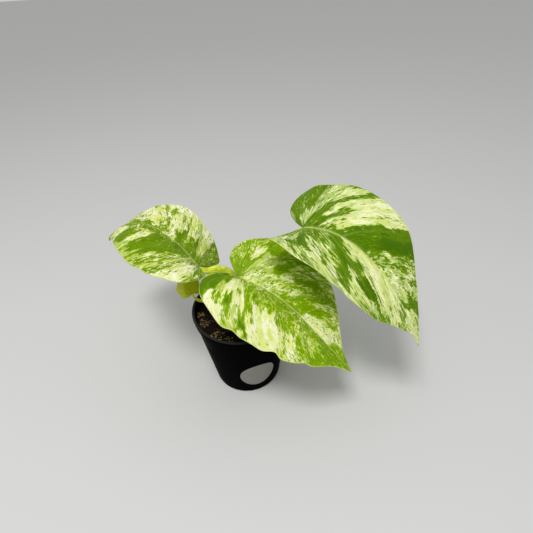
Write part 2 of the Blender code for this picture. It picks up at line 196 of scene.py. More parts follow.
def newMaterial(name, **fixed):
    mat = bpy.data.materials.new(name)
    mat.use_nodes = True
    shader = mat.node_tree.nodes["Principled BSDF"]
    for label, value in fixed.items():
        put(mat.node_tree, shader.inputs[label.replace("_", " ")], value)
    return mat, mat.node_tree, shader.inputs


# Noise drawn out along the side veins: the UV map's u runs along a vein and v from vein to vein.
def streakGroup():
    group, given, result = newGroup(
        "veinStreaks", {"Surface": "Vector", "Lengthwise": "Float", "Sidewise": "Float", "Seed": "Float",
                        "Roughness": "Float"}, {"Value": "Float"})
    apart = group.nodes.new("ShaderNodeSeparateXYZ")
    put(group, apart.inputs[0], given["Surface"])
    together = group.nodes.new("ShaderNodeCombineXYZ")
    put(group, together.inputs[0], calc(group, "MULTIPLY", apart.outputs[0], given["Lengthwise"]))
    put(group, together.inputs[1], calc(group, "MULTIPLY", apart.outputs[1], given["Sidewise"]))
    put(group, together.inputs[2], given["Seed"])
    raw = noise(group, together.outputs[0], 1.0, 5.0, given["Roughness"], 0.35)
    put(group, result["Value"], calc(group, "MULTIPLY", calc(group, "SUBTRACT", raw, 0.5), 4.0))
    return group


# Marbling in three layers: a pale ground, a hazy under layer and a green top layer. The two green layers
# are cut from the same smooth pigment field with two different streak noises, so their edges are ragged
# along the veins, and small flecks of the other colour stand inside each patch. Lime lies on both sides of
# a patch's edge and in thin lines along the veins, and the middle of a dense patch is deep green.
def marblingGroup(streaks):
    group, given, result = newGroup(
        "marbling", {"Surface": "Vector", "Pigment": "Float", "Haze": "Float", "Rib": "Float",
                     "Seed": "Float", "Lengthwise": "Float", "Sidewise": "Float", "Raggedness": "Float",
                     "Speckle": "Float", "Cream": "Color", "Ivory": "Color", "Misty": "Color",
                     "Lime": "Color", "Green": "Color", "Deep": "Color"},
        {"Color": "Color", "Height": "Float"})

    def streak(lengthwise, sidewise, seed, roughness=0.6):
        return useGroup(group, streaks, Surface=given["Surface"], Roughness=roughness,
                        Lengthwise=calc(group, "MULTIPLY", given["Lengthwise"], lengthwise),
                        Sidewise=calc(group, "MULTIPLY", given["Sidewise"], sidewise),
                        Seed=calc(group, "ADD", given["Seed"], seed))["Value"]

    large = streak(1.0, 1.0, 0.0, 0.62)
    fine = streak(3.2, 3.4, 4.3)
    under = streak(1.3, 1.2, 9.1, 0.62)
    tint = streak(0.7, 0.5, 14.7)
    ragged = calc(group, "ADD", calc(group, "MULTIPLY", large, 0.55), calc(group, "MULTIPLY", fine, 0.8))
    field = calc(group, "ADD", given["Pigment"], calc(group, "MULTIPLY", ragged, given["Raggedness"]))
    top = mapped(group, field, 0.46, 0.54)
    lowField = calc(group, "ADD", calc(group, "ADD", given["Pigment"], given["Haze"]),
                    calc(group, "MULTIPLY", calc(group, "ADD", under, calc(group, "MULTIPLY", fine, -0.3)),
                         calc(group, "MULTIPLY", given["Raggedness"], 0.8)))
    below = mapped(group, lowField, 0.5, 0.68)
    speck = mapped(group, calc(group, "ADD", streak(9.0, 6.5, 21.3, 0.5), calc(group, "MULTIPLY", tint, 0.5)),
                   0.1, 0.9)
    leafy = mixed(group, calc(group, "MULTIPLY", speck, given["Speckle"]), given["Green"], given["Lime"])
    veiny = mapped(group, streak(0.3, 5.0, 66.0, 0.4), 0.35, 0.95, 0.0, 0.4)
    leafy = mixed(group, veiny, leafy, given["Lime"])
    dense = calc(group, "MULTIPLY", calc(group, "ADD", given["Pigment"], field), 0.5)
    dense = calc(group, "ADD", dense, calc(group, "MULTIPLY", tint, 0.5))
    leafy = mixed(group, mapped(group, dense, 0.8, 1.6, 0.0, 1.0), leafy, given["Deep"])
    leafy = mixed(group, mapped(group, field, 0.5, 0.70, 0.75, 0.0), leafy, given["Lime"])
    white = mixed(group, mapped(group, streak(0.9, 0.8, 52.6), -0.35, 0.45), given["Cream"], given["Ivory"])
    veil = mapped(group, streak(2.4, 3.0, 37.2), 0.05, 0.5, 0.0, 0.36)
    pale = mixed(group, veil, white, given["Misty"])
    pale = mixed(group, calc(group, "MULTIPLY", below, 0.85), pale, given["Misty"])
    pale = mixed(group, mapped(group, field, 0.34, 0.46, 0.0, 0.50), pale, given["Lime"])
    color = mixed(group, top, pale, leafy)
    color = mixed(group, given["Rib"], color, given["Cream"])
    put(group, result["Color"], color)
    put(group, result["Height"], calc(group, "ADD", calc(group, "MULTIPLY", fine, 0.3),
                                      calc(group, "MULTIPLY", streak(1.5, 7.0, 30.9, 0.4), 0.5)))
    return group


veinStreaks = streakGroup()
marbling = marblingGroup(veinStreaks)

# Linear colours of the skin, lit as they are under the soft lamp.
skinTones = {"cream": (0.67, 0.73, 0.22), "ivory": (0.87, 0.87, 0.60), "misty": (0.39, 0.52, 0.065),
             "lime": (0.29, 0.39, 0.005), "green": (0.135, 0.255, 0.0), "deep": (0.080, 0.175, 0.0)}


def skinMaterial(name, look):
    mat, tree, shader = newMaterial(name, Specular_IOR_Level=0.05, Subsurface_Weight=0.35,
                                    Subsurface_Scale=0.0012, Subsurface_Radius=(1.0, 1.0, 0.25))
    uv = tree.nodes.new("ShaderNodeUVMap")
    uv.uv_map = "surface"
    tones = {**skinTones, **look.get("tones", {})}
    edge = mapped(tree, attribute(tree, "fromEdge"), 0.15, 0.55, look["edge"], 0.0)
    pale = calc(tree, "MAXIMUM", calc(tree, "MULTIPLY", attribute(tree, "rib"), look["rib"]), edge)
    out = useGroup(tree, marbling, Surface=uv.outputs[0], Pigment=attribute(tree, "pigment"),
                   Haze=attribute(tree, "haze"), Rib=pale, Seed=look["seed"],
                   Lengthwise=look["lengthwise"], Sidewise=look["sidewise"], Raggedness=look["raggedness"],
                   Speckle=look["speckle"], Cream=tones["cream"], Ivory=tones["ivory"], Misty=tones["misty"],
                   Lime=tones["lime"], Green=tones["green"], Deep=tones["deep"])
    faded = mixed(tree, calc(tree, "MULTIPLY", attribute(tree, "under"), 0.5), out["Color"], tones["misty"])
    put(tree, shader["Base Color"], faded)
    dull = look["gloss"] + 0.16
    put(tree, shader["Roughness"], mapped(tree, out["Height"], -1.0, 1.0, look["gloss"], dull))
    put(tree, shader["Normal"], bump(tree, out["Height"], 0.0002, 0.55))
    return mat


# One blade. base in mm, angles in degrees; the halves are given in parts of the length, as in the solids.
# Patches lie on the vein chart: along the margin from notch to tip (from, to), across from midrib to margin
# (from, to), then how much green pigment and how much haze. Nicks are a place along the margin, a width and a
# share of the half's width, and droops a place, a width and a rise in parts of the length.
leafShapes = {
    "leaf_left": {
        "base": (-25.7, 15.1, 84.2), "heading": 138.0, "pitch": 37.4, "roll": 27.9, "length": 87.0,
        "bend": (0.20, 4.80, -2.56), "sweep": -0.367, "twist": -0.538,
        "left": {
            "width": 0.461, "lobe": 0.135, "widest": 0.174, "full": 0.77, "narrow": 0.44, "drip": 0.212,
            "lobeBend": -2.52, "fold": 33.1, "foldChange": -39.8, "curl": 56.6, "wave": 0.7, "waves": 3.2,
            "veinBend": (0.15, 0.0, 0.0), "nicks": ((0.44, 0.02, -0.022),),
            "pigment": 0.55, "haze": 0.1, "patches": (
                (0.17, 0.26, 0.30, 1.00, 0.78, 0.00), (0.19, 0.225, 0.72, 0.90, 0.20, 0.10),
                (0.255, 0.31, 0.30, 0.95, 0.32, 0.00), (0.30, 0.385, 0.38, 1.00, 0.04, 0.00),
                (0.38, 0.51, 0.24, 0.95, 0.42, 0.10), (0.46, 0.49, 0.84, 0.94, 0.90, 0.20),
                (0.505, 0.53, 0.45, 0.85, 0.02, 0.30), (0.525, 0.68, 0.10, 0.62, 1.05, 0.00),
                # The patch (0.52, 0.70, 0.88, 1.00, 0.24, 0.50) near the margin is a painted reflection: pale
                # haze standing for the leaf's gloss.
                (0.54, 0.65, 0.55, 0.87, 1.05, 0.00), (0.52, 0.70, 0.88, 1.00, 0.24, 0.50),
                (0.53, 0.555, 0.88, 0.95, 0.90, 0.20), (0.66, 0.70, 0.40, 0.80, 0.06, 0.10),
                (0.70, 0.785, 0.52, 0.94, 1.00, 0.00), (0.71, 0.80, 0.30, 0.48, 0.22, 0.20),
                (0.74, 0.78, 0.44, 0.54, 0.85, 0.00), (0.79, 0.86, 0.42, 0.82, 0.10, 0.00),
                (0.72, 0.80, 0.00, 0.28, 0.88, 0.00), (0.80, 0.87, 0.00, 0.42, 0.80, 0.00),
                (0.87, 1.00, 0.00, 1.00, 0.70, 0.00))},
        "right": {
            "width": 0.435, "lobe": 0.050, "widest": 0.162, "full": 0.894, "narrow": 0.473, "drip": 0.118,
            "lobeBend": 0.85, "fold": -15.4, "foldChange": 23.9, "curl": -15.4, "wave": 0.6, "waves": 2.6,
            "veinBend": (0.06, 0.0, 0.0), "nicks": ((0.48, 0.07, -0.035),),
            "droops": ((0.48, 0.07, -0.004), (0.71, 0.04, 0.008), (0.86, 0.055, -0.016)),
            "pigment": 0.76, "haze": 0.1, "patches": (
                (0.03, 0.25, 0.00, 1.00, 0.74, 0.9), (0.25, 0.30, 0.40, 0.75, 0.52, 0.1),
                (0.37, 0.475, 0.25, 0.78, 0.14, 0.5),
                (0.36, 0.50, 0.75, 1.00, 0.06, 0.1), (0.48, 0.55, 0.00, 0.52, 0.88, 0.0),
                (0.475, 0.56, 0.52, 1.00, 0.10, 0.3), (0.54, 0.60, 0.20, 1.00, 0.22, 0.1),
                (0.56, 0.60, 0.04, 0.22, 0.90, 0.0), (0.56, 0.60, 0.29, 0.57, 0.92, 0.0),
                (0.60, 0.64, 0.06, 0.38, 1.00, 0.0), (0.60, 0.67, 0.38, 1.00, 0.06, 0.1),
                (0.62, 0.65, 0.74, 0.86, 0.85, 0.0), (0.65, 0.69, 0.00, 0.40, 0.26, 0.1),
                (0.69, 0.72, 0.22, 0.95, 0.18, 0.1), (0.68, 0.72, 0.00, 0.22, 0.60, 0.0),
                (0.72, 0.79, 0.10, 1.00, 0.08, 0.1), (0.77, 0.80, 0.25, 0.95, 0.16, 0.0),
                (0.79, 0.84, 0.28, 1.00, 0.30, 0.1), (0.77, 0.84, 0.00, 0.30, 0.88, 0.0),
                (0.83, 1.00, 0.20, 1.00, 0.40, 0.1))}},
    "leaf_middle": {
        "base": (0.5, 3.5, 83.1), "heading": -25.9, "pitch": -3.8, "roll": -37.0, "length": 89.7,
        "bend": (1.17, -0.56, -0.99), "sweep": 0.29, "twist": 0.077,
        "left": {
            "width": 0.443, "lobe": 0.167, "widest": 0.168, "full": 0.844, "narrow": 0.392, "drip": 0.124,
            "lobeBend": -0.09, "fold": 45.7, "foldChange": -4.8, "curl": 3.0, "wave": 0.7, "waves": 3.0,
            "veinBend": (0.06, 0.02, 0.03),
            "nicks": ((0.30, 0.06, -0.025), (0.71, 0.05, -0.03), (0.92, 0.04, -0.12)),
            "pigment": 0.86, "haze": 0.0, "patches": (
                (0.15, 0.36, 0.50, 1.00, 0.62, 0.00), (0.335, 0.395, 0.46, 0.80, 0.02, 0.10),
                (0.385, 0.41, 0.10, 0.95, 0.90, 0.00), (0.40, 0.455, 0.12, 0.66, 0.06, 0.70),
                (0.45, 0.52, 0.04, 0.30, 0.45, 0.10), (0.45, 0.52, 0.30, 0.62, 0.28, 0.40),
                (0.40, 0.55, 0.66, 1.00, 0.98, 0.00), (0.52, 0.56, 0.38, 0.60, 1.00, 0.00),
                (0.50, 0.61, 0.00, 0.38, 0.30, 0.20), (0.57, 0.63, 0.38, 0.56, 0.28, 0.10),
                (0.55, 0.72, 0.56, 1.00, 0.60, 0.00), (0.62, 0.67, 0.55, 0.75, 0.95, 0.00),
                (0.61, 0.70, 0.00, 0.36, 0.42, 0.10), (0.64, 0.70, 0.30, 0.55, 0.45, 0.10),
                (0.70, 0.79, 0.08, 0.82, 0.80, 0.00), (0.73, 0.76, 0.48, 0.80, 0.38, 0.00),
                (0.72, 0.80, 0.80, 1.00, 0.38, 0.10), (0.79, 0.90, 0.00, 0.35, 0.02, 0.10),
                (0.80, 0.90, 0.33, 1.00, 0.26, 0.10), (0.795, 0.835, 0.58, 0.92, 0.58, 0.00),
                (0.93, 1.00, 0.00, 0.85, 0.80, 0.00))},
        "right": {
            "width": 0.472, "lobe": 0.166, "widest": 0.162, "full": 0.835, "narrow": 0.502, "drip": 0.147,
            "lobeBend": 1.49, "fold": 11.3, "foldChange": -36.6, "curl": 82.9, "wave": 0.8, "waves": 4.3,
            "veinBend": (0.12, 0.0, 0.09),
            "nicks": ((0.465, 0.035, -0.05), (0.66, 0.03, -0.10), (0.785, 0.018, -0.05),
                      (0.89, 0.045, -0.11)),
            "pigment": 0.60, "haze": 0.1, "patches": (
                (0.05, 0.18, 0.00, 0.80, 1.00, 0.0), (0.05, 0.15, 0.84, 1.00, 0.02, 0.7),
                (0.17, 0.27, 0.28, 1.00, 1.50, 0.0), (0.26, 0.30, 0.28, 0.84, 1.45, 0.0),
                (0.29, 0.35, 0.20, 0.42, 1.25, 0.0), (0.305, 0.35, 0.46, 0.72, 0.08, 0.8),
                (0.285, 0.38, 0.80, 1.00, -0.25, 0.1), (0.305, 0.33, 0.78, 0.88, 1.00, 0.0),
                (0.36, 0.51, 0.26, 1.00, -0.12, 0.3), (0.385, 0.43, 0.62, 0.78, 1.25, 0.0),
                (0.38, 0.41, 0.78, 0.94, 0.95, 0.0), (0.455, 0.48, 0.46, 0.58, 1.00, 0.0),
                (0.475, 0.53, 0.80, 0.95, 1.30, 0.0), (0.52, 0.575, 0.22, 0.70, 0.95, 0.0),
                (0.56, 0.67, 0.50, 1.00, -0.10, 0.1), (0.55, 0.63, 0.00, 0.20, 0.42, 0.1),
                (0.58, 0.70, 0.12, 0.52, 0.62, 0.1), (0.66, 0.75, 0.30, 0.66, 0.74, 0.0),
                (0.66, 0.76, 0.66, 1.00, 0.26, 0.1), (0.69, 0.71, 0.74, 0.84, 0.85, 0.0),
                (0.75, 0.80, 0.28, 0.62, 0.38, 0.2), (0.76, 0.87, 0.00, 0.46, 0.66, 0.0),
                (0.80, 0.85, 0.40, 0.76, 0.36, 0.3), (0.80, 0.92, 0.76, 0.96, 0.92, 0.0),
                (0.395, 0.485, 0.80, 1.00, 0.34, 0.4), (0.535, 0.575, 0.80, 1.00, -0.10, 0.1),
                (0.83, 0.88, 0.52, 0.78, 0.80, 0.0), (0.87, 1.00, 0.00, 0.85, 0.90, 0.0))}},
    "leaf_right": {
        "base": (43.0, 25.5, 102.0), "heading": -44.0, "pitch": 27.8, "roll": -8.2, "length": 105.0,
        "bend": (1.90, 0.37, -1.91), "sweep": -0.048, "twist": 0.227, "tail": 0.022,
        "left": {
            "width": 0.429, "lobe": 0.225, "widest": 0.153, "full": 0.813, "narrow": 0.384, "drip": 0.181,
            "lobeBend": -0.52, "fold": 35.3, "foldChange": -50.9, "curl": 19.9, "wave": 0.8, "waves": 3.1,
            "veinBend": (0.03, 0.0, 0.0),
            "nicks": ((0.37, 0.07, -0.03), (0.72, 0.07, -0.07), (0.845, 0.03, 0.07)),
            "droops": ((0.37, 0.07, -0.005),),
            "pigment": 1.00, "haze": 0.0, "patches": (
                (0.11, 0.16, 0.60, 0.96, 0.35, 0.7), (0.20, 0.42, 0.10, 0.42, 0.14, 0.5),
                (0.18, 0.28, 0.42, 1.00, 0.80, 0.9), (0.28, 0.36, 0.45, 1.00, 0.90, 0.8),
                (0.36, 0.43, 0.34, 1.00, 0.28, 0.4), (0.43, 0.51, 0.06, 0.58, 1.00, 0.1),
                (0.43, 0.488, 0.58, 0.96, 0.08, 0.1), (0.49, 0.512, 0.55, 0.86, 0.92, 0.0),
                (0.515, 0.555, 0.22, 0.62, 0.12, 0.2), (0.54, 0.60, 0.00, 0.14, 0.95, 0.0),
                (0.548, 0.572, 0.36, 0.70, 0.85, 0.0), (0.52, 0.655, 0.60, 1.00, 0.04, 0.1),
                (0.575, 0.655, 0.08, 0.70, 0.10, 0.0), (0.66, 0.748, 0.03, 1.00, 1.15, 0.0),
                (0.69, 0.748, 0.42, 1.00, 1.40, 0.0),
                (0.75, 0.80, 0.10, 0.85, 0.52, 0.1), (0.75, 0.82, 0.82, 1.00, 0.40, 0.3),
                (0.80, 0.855, 0.00, 1.00, 0.42, 0.2), (0.835, 0.90, 0.00, 0.62, 0.20, 0.4),
                (0.85, 0.88, 0.58, 1.00, 0.28, 0.2), (0.872, 0.912, 0.50, 0.94, 1.05, 0.0),
                (0.92, 1.00, 0.00, 1.00, 0.20, 0.2), (0.938, 0.957, 0.60, 0.92, 0.80, 0.0))},
        "right": {
            "width": 0.364, "lobe": 0.050, "widest": 0.269, "full": 0.808, "narrow": 0.522, "drip": 0.132,
            "lobeBend": 0.59, "fold": -5.8, "foldChange": -14.2, "curl": -31.7, "wave": 0.9, "waves": 4.6,
            "veinBend": (0.0, 0.28, 0.0),
            "nicks": ((0.625, 0.03, -0.045), (0.92, 0.02, 0.12), (0.965, 0.02, -0.62)),
            "pigment": 0.62, "haze": 0.1, "patches": (
                (0.10, 0.34, 0.55, 1.00, 0.22, 0.40), (0.335, 0.395, 0.25, 0.62, 0.05, 0.60),
                (0.365, 0.40, 0.50, 0.76, 0.85, 0.40), (0.40, 0.47, 0.22, 0.66, 1.15, 0.00),
                (0.44, 0.475, 0.10, 0.28, 0.95, 0.00), (0.35, 0.50, 0.70, 1.00, 0.40, 0.00),
                (0.475, 0.60, 0.28, 1.00, 0.34, 0.00), (0.488, 0.512, 0.16, 0.42, 1.00, 0.00),
                (0.53, 0.56, 0.66, 0.82, 0.92, 0.00), (0.52, 0.575, 0.03, 0.38, 0.72, 0.40),
                (0.575, 0.64, 0.00, 0.22, 1.10, 0.00), (0.585, 0.65, 0.18, 0.50, 1.20, 0.00),
                (0.61, 0.65, 0.46, 0.74, 1.10, 0.00), (0.66, 0.90, 0.00, 0.34, 0.06, 0.05),
                (0.64, 0.80, 0.74, 1.00, 0.36, 0.10), (0.605, 0.67, 0.77, 0.88, 1.00, 0.00),
                (0.65, 0.73, 0.29, 0.44, 1.15, 0.00), (0.655, 0.695, 0.46, 0.78, 0.00, 0.20),
                (0.73, 0.80, 0.34, 0.56, 0.12, 0.10), (0.745, 0.77, 0.37, 0.46, 0.85, 0.10),
                (0.70, 0.83, 0.74, 0.82, -0.15, 0.10), (0.80, 0.90, 0.34, 0.78, 0.05, 0.10),
                (0.698, 0.76, 0.50, 0.68, 1.45, 0.00), (0.735, 0.81, 0.58, 0.71, 1.60, 0.00),
                (0.775, 0.835, 0.82, 0.96, 0.20, 0.95), (0.808, 0.828, 0.76, 0.97, 1.05, 0.00),
                (0.785, 0.815, 0.95, 1.00, 1.00, 0.00), (0.845, 0.862, 0.55, 0.66, 0.80, 0.00),
                (0.866, 0.88, 0.69, 0.79, 0.80, 0.00), (0.86, 0.90, 0.70, 1.00, 0.14, 0.10),
                (0.90, 0.928, 0.00, 0.22, 0.85, 0.00), (0.93, 1.00, 0.00, 1.00, 0.20, 0.20))}},
    "leaf_young": {
        "base": (-30.6, 4.0, 72.2), "heading": 107.0, "pitch": 56.6, "roll": 22.2, "length": 22.9,
        "bend": (0.2, 0.6, 0.0), "sweep": 0.0, "twist": 0.0,
        "left": {
            "width": 0.367, "lobe": 0.097, "widest": 0.17, "full": 0.83, "narrow": 0.46, "drip": 0.15,
            "lobeBend": 0.61, "fold": 5.9, "foldChange": 0.0, "curl": 36.3, "wave": 0.15, "waves": 2.0,
            "veinBend": (0.1, 0.0, 0.06),
            "nicks": ((0.20, 0.03, 0.03), (0.29, 0.04, -0.06), (0.40, 0.07, 0.12), (0.64, 0.10, -0.16)),
            "pigment": 0.90, "haze": 0.1, "patches": ((0.10, 1.00, 0.52, 1.00, 0.20, 0.10),)},
        "right": {
            "width": 0.356, "lobe": 0.075, "widest": 0.16, "full": 0.84, "narrow": 0.46, "drip": 0.15,
            "lobeBend": 0.67, "fold": 2.4, "foldChange": 0.0, "curl": 42.9, "wave": 0.15, "waves": 2.0,
            "veinBend": (0.1, 0.0, 0.06),
            "pigment": 0.95, "haze": 0.1, "patches": ()}},
}

# How far the streaks run along and across the veins, how ragged the patches are, and the strength of the pale
# midrib and of the pale line at the margin.
leafLooks = {
    "leaf_left": {
        "seed": 3.1, "lengthwise": 9.0, "sidewise": 42.0, "raggedness": 1.0, "speckle": 0.55,
        "gloss": 0.38, "rib": 0.6, "edge": 0.45},
    "leaf_middle": {
        "seed": 17.4, "lengthwise": 12.0, "sidewise": 40.0, "raggedness": 1.0, "speckle": 0.70,
        "gloss": 0.36, "rib": 0.8, "edge": 0.6,
        "tones": {"cream": (0.71, 0.78, 0.25), "misty": (0.42, 0.56, 0.065), "lime": (0.36, 0.48, 0.010),
                  "green": (0.180, 0.340, 0.0), "deep": (0.090, 0.195, 0.0)}},
    "leaf_right": {
        "seed": 41.8, "lengthwise": 8.0, "sidewise": 40.0, "raggedness": 1.0, "speckle": 0.35,
        "gloss": 0.34, "rib": 0.7, "edge": 0.5,
        "tones": {"cream": (0.62, 0.70, 0.23), "ivory": (0.82, 0.84, 0.49), "misty": (0.38, 0.52, 0.14),
                  "lime": (0.24, 0.36, 0.006), "green": (0.103, 0.212, 0.0), "deep": (0.056, 0.143, 0.0)}},
    "leaf_young": {
        "seed": 60.2, "lengthwise": 1.5, "sidewise": 14.0, "raggedness": 0.6, "speckle": 0.30,
        "gloss": 0.42, "rib": 0.4, "edge": 0.3,
        "tones": {"cream": (0.64, 0.68, 0.09), "ivory": (0.66, 0.70, 0.12), "misty": (0.58, 0.64, 0.07),
                  "lime": (0.56, 0.62, 0.03), "green": (0.50, 0.55, 0.01), "deep": (0.42, 0.47, 0.005)}},
}

# Steps of the mesh, and in mm the relief of a blade of fullLength or longer: pleats between the veins, a ridge
# under the midrib and a groove over it. The pale line on the midrib is in mm, those on the side veins in
# parts of the way from vein to vein.
bladeBuild = {"marginSteps": 400, "fanRows": 90, "ribRows": 170, "columns": 42, "veins": 9,
              "thickness": 0.5, "edgeRound": 0.22, "fullLength": 90, "pleat": 0.95,
              "ribDepth": 0.75, "ribWidth": 1.0, "grooveDepth": 0.1, "grooveWidth": 1.6,
              "ribLine": 0.58, "sideLine": 0.035, "sidePale": 0.22}


# Flat outline of one half from the notch round the lobe to the tip, x along the midrib and y outwards.
def marginLine(half, count):
    w = half["width"]
    lobe = half["lobe"]
    return smoothLine([(0, 0), (-0.45 * lobe, 0.13 * w), (-0.92 * lobe, 0.36 * w), (-0.92 * lobe, 0.66 * w),
                       (-0.35 * lobe, 0.90 * w), (half["widest"], w), (0.5, half["full"] * w),
                       (0.75, half["narrow"] * w), (0.90, half["drip"] * w), (1, 0)], count)


midribReach, midribSteps = 1.05, 210         # in parts of the length, past the tip for the drawn out tail


# Point, normal and side direction of the midrib at x. Its slope down is a cubic of x and it sweeps aside
# with x squared; behind the base it runs on as an arc that carries the lobe.
def midribFrame(leaf, x, lobeBend):
    k0, k1, k2 = leaf["bend"]
    s = np.linspace(0, midribReach, midribSteps + 1)
    down = k0 * s + k1 * s ** 2 / 2 + k2 * s ** 3 / 3
    aside = leaf["sweep"] * s ** 2
    step = np.stack([np.cos(down) * np.cos(aside), np.cos(down) * np.sin(aside), -np.sin(down)], -1)
    line = np.vstack([np.zeros(3), np.cumsum(0.5 * (step[1:] + step[:-1]) * s[1], axis=0)])
    ahead = np.clip(x, 0, midribReach)
    back = np.maximum(-x, 0)
    point = np.stack([np.interp(ahead, s, line[:, j]) for j in range(3)], -1)
    angle = lobeBend * back
    point[:, 0] -= np.sin(angle) / lobeBend
    point[:, 2] -= (1 - np.cos(angle)) / lobeBend
    down = np.interp(ahead, s, down) - angle
    aside = np.interp(ahead, s, aside)
    normal = np.stack([np.sin(down) * np.cos(aside), np.sin(down) * np.sin(aside), np.cos(down)], -1)
    side = np.stack([-np.sin(aside), np.cos(aside), np.zeros_like(aside)], -1)
    turn = (leaf["twist"] * ahead)[:, None]
    return point, normal * np.cos(turn) - side * np.sin(turn), side * np.cos(turn) + normal * np.sin(turn)


def turnMatrix(leaf):
    y, p, r = np.radians([leaf["heading"], leaf["pitch"], leaf["roll"]])
    aboutZ = np.array([[np.cos(y), -np.sin(y), 0], [np.sin(y), np.cos(y), 0], [0, 0, 1]])
    aboutY = np.array([[np.cos(p), 0, -np.sin(p)], [0, 1, 0], [np.sin(p), 0, np.cos(p)]])
    aboutX = np.array([[1, 0, 0], [0, np.cos(r), -np.sin(r)], [0, np.sin(r), np.cos(r)]])
    return aboutZ @ aboutY @ aboutX


# The bent blade at flat (x, y): across a half, the angle to the midrib's side direction starts at the fold
# and turns down by the curl to the margin, which also ripples with the cube of the share across. Droops
# lower or raise the margin in soft bells along it, and a tail draws the tip out.
def bladePoint(leaf, side, x, y, across, along):
    half = leaf["left"] if side > 0 else leaf["right"]
    x = x + leaf.get("tail", 0) * ramp(x, 0.9, 1.0)
    point, normal, aside = midribFrame(leaf, x, half["lobeBend"])
    w = half["width"]
    fold = np.radians(half["fold"] + half["foldChange"] * np.clip(x, -0.1, 1))
    curl = math.radians(half["curl"])
    v = y / w
    out = w * (np.sin(fold) - np.sin(fold - curl * v)) / curl
    lift = w * (np.cos(fold - curl * v) - np.cos(fold)) / curl
    ripple = np.sin(2 * math.pi * half["waves"] * along + side) * np.sin(math.pi * along)
    lift = lift + half["wave"] / leaf["length"] * across ** 3 * ripple
    for centre, width, rise in half.get("droops", ()):
        lift = lift + rise * across ** 3 * np.exp(-((along - centre) / width) ** 2)
    local = (point + aside * (side * out)[:, None] + normal * lift[:, None]) * leaf["length"]
    return np.array(leaf["base"]) + local @ turnMatrix(leaf).T


# Flat x and y along each side vein, from the midrib (or the base, for the lobe) to the margin; also the
# share across and the share of the margin's length. Columns crowd towards the midrib. Each nick narrows or
# widens the half by a share of its width in a soft bell along the margin.
def veinGrid(half, build):
    steps = build["marginSteps"]
    edge = marginLine(half, steps + 1)
    slant = 0.4 + 0.9 * np.clip(edge[:, 0], 0, 1)
    start = np.maximum(0, edge[:, 0] - slant * edge[:, 1])
    fanEnd = int(np.nonzero(start <= 0)[0][-1])
    stations = np.linspace(0, 1, build["ribRows"] + 1)[1:]
    place = np.concatenate([np.linspace(0, fanEnd, build["fanRows"]),
                            np.interp(stations, start[fanEnd:], np.arange(fanEnd, steps + 1))])
    start = np.concatenate([np.zeros(build["fanRows"]), stations])[:, None]
    edgeX = np.interp(place, np.arange(steps + 1), edge[:, 0])[:, None]
    edgeY = np.interp(place, np.arange(steps + 1), edge[:, 1])[:, None]
    for centre, width, share in half.get("nicks", ()):
        edgeY = edgeY * (1 + share * np.exp(-((place[:, None] / steps - centre) / width) ** 2))
    u = np.linspace(0, 1, build["columns"] + 1)
    t = 0.3 * u + 0.7 * u ** 2 - 0.12 * np.sin(math.pi * u ** 2) * u
    x = start + (edgeX - start) * t
    y = np.maximum(edgeY, 0) * t
    along = np.broadcast_to(place[:, None] / steps, x.shape)
    return x, y, np.broadcast_to(t, x.shape), along


# Height of the blade over its smooth form, in mm: it swells between the side veins, which lie at even
# steps of the margin, less towards midrib and margin, and dips in a groove along the midrib.
def pleatHeight(build, size, distance, x, t, along, vein):
    swell = 0.5 - 0.5 * np.cos(2 * math.pi * build["veins"] * vein)
    profile = np.clip(4 * t * (1 - t), 0, 1) ** 0.8 * ramp(along, 0.03, 0.2) * (1 - ramp(along, 0.85, 1.0))
    groove = np.exp(-(distance / build["grooveWidth"]) ** 2) * ramp(x, -0.01, 0.03) * (1 - 0.6 * x)
    return size * (build["pleat"] * swell * profile - build["grooveDepth"] * groove)


# Where a point lies from vein to vein. Real veins aren't quite the grid's straight lines: the margin share
# is shifted by hook (1-t)^2 + drift t^3, and by lean t more and more along the margin. All fade at the tip.
def veinPlace(half, t, along):
    hook, lean, drift = half["veinBend"]
    shift = (hook * (1 - t) ** 2 + drift * t ** 3) * ramp(along, 0.0, 0.6)
    shift = shift + lean * t * np.clip(2 * along - 0.4, 0, 2)
    return along - shift * (1 - ramp(along, 0.75, 1.0))


# How soft a patch's edges are along and across the half, how far noise of a cell size pushes them, and how
# much of the veins' slant a patch takes on.
patchBuild = {"softAlong": 0.009, "softAcross": 0.05, "pushAcross": 0.10, "pushFine": 0.05, "pushAlong": 0.012,
              "cellAcross": 0.14, "cellAlong": 0.12, "shear": 0.5, "probe": 0.01}


# Pigment and haze fields of one half: each patch overrides what lies under it. It is sheared half way to the
# run of the veins, and its soft edges are pushed about by lattice noise, so that it ends in ragged fingers.
def patchFields(half, t, along, seed):
    vein = veinPlace(half, t, along)
    cell, probe = patchBuild["cellAcross"], patchBuild["probe"]
    soft, side = patchBuild["softAlong"], patchBuild["softAcross"]
    pushed = t + patchBuild["pushAcross"] * latticeNoise(t, vein * 8, cell, seed)
    pushed = pushed + patchBuild["pushFine"] * latticeNoise(t * 2, vein * 20, cell, seed + 1)
    along = along + patchBuild["pushAlong"] * latticeNoise(t, vein * 4, patchBuild["cellAlong"], seed + 2)
    t = pushed
    pigment = np.full(t.shape, half["pigment"])
    haze = np.full(t.shape, half["haze"])
    for low, high, inner, outer, green, mist in half["patches"]:
        middle, centre = 0.5 * (inner + outer), 0.5 * (low + high)
        nearer = veinPlace(half, middle - probe, centre)
        farther = veinPlace(half, middle + probe, centre)
        slant = (nearer - farther) / (2 * probe)
        level = along - patchBuild["shear"] * slant * (t - middle)
        weight = (ramp(level, low - soft, low + soft) * (1 - ramp(level, high - soft, high + soft))
                  * (ramp(t, inner - side, inner + side) if inner > 0 else 1)
                  * (1 - ramp(t, outer - side, outer + side) if outer < 1 else 1))
        pigment += (green - pigment) * weight
        haze += (mist - haze) * weight
    return pigment, haze


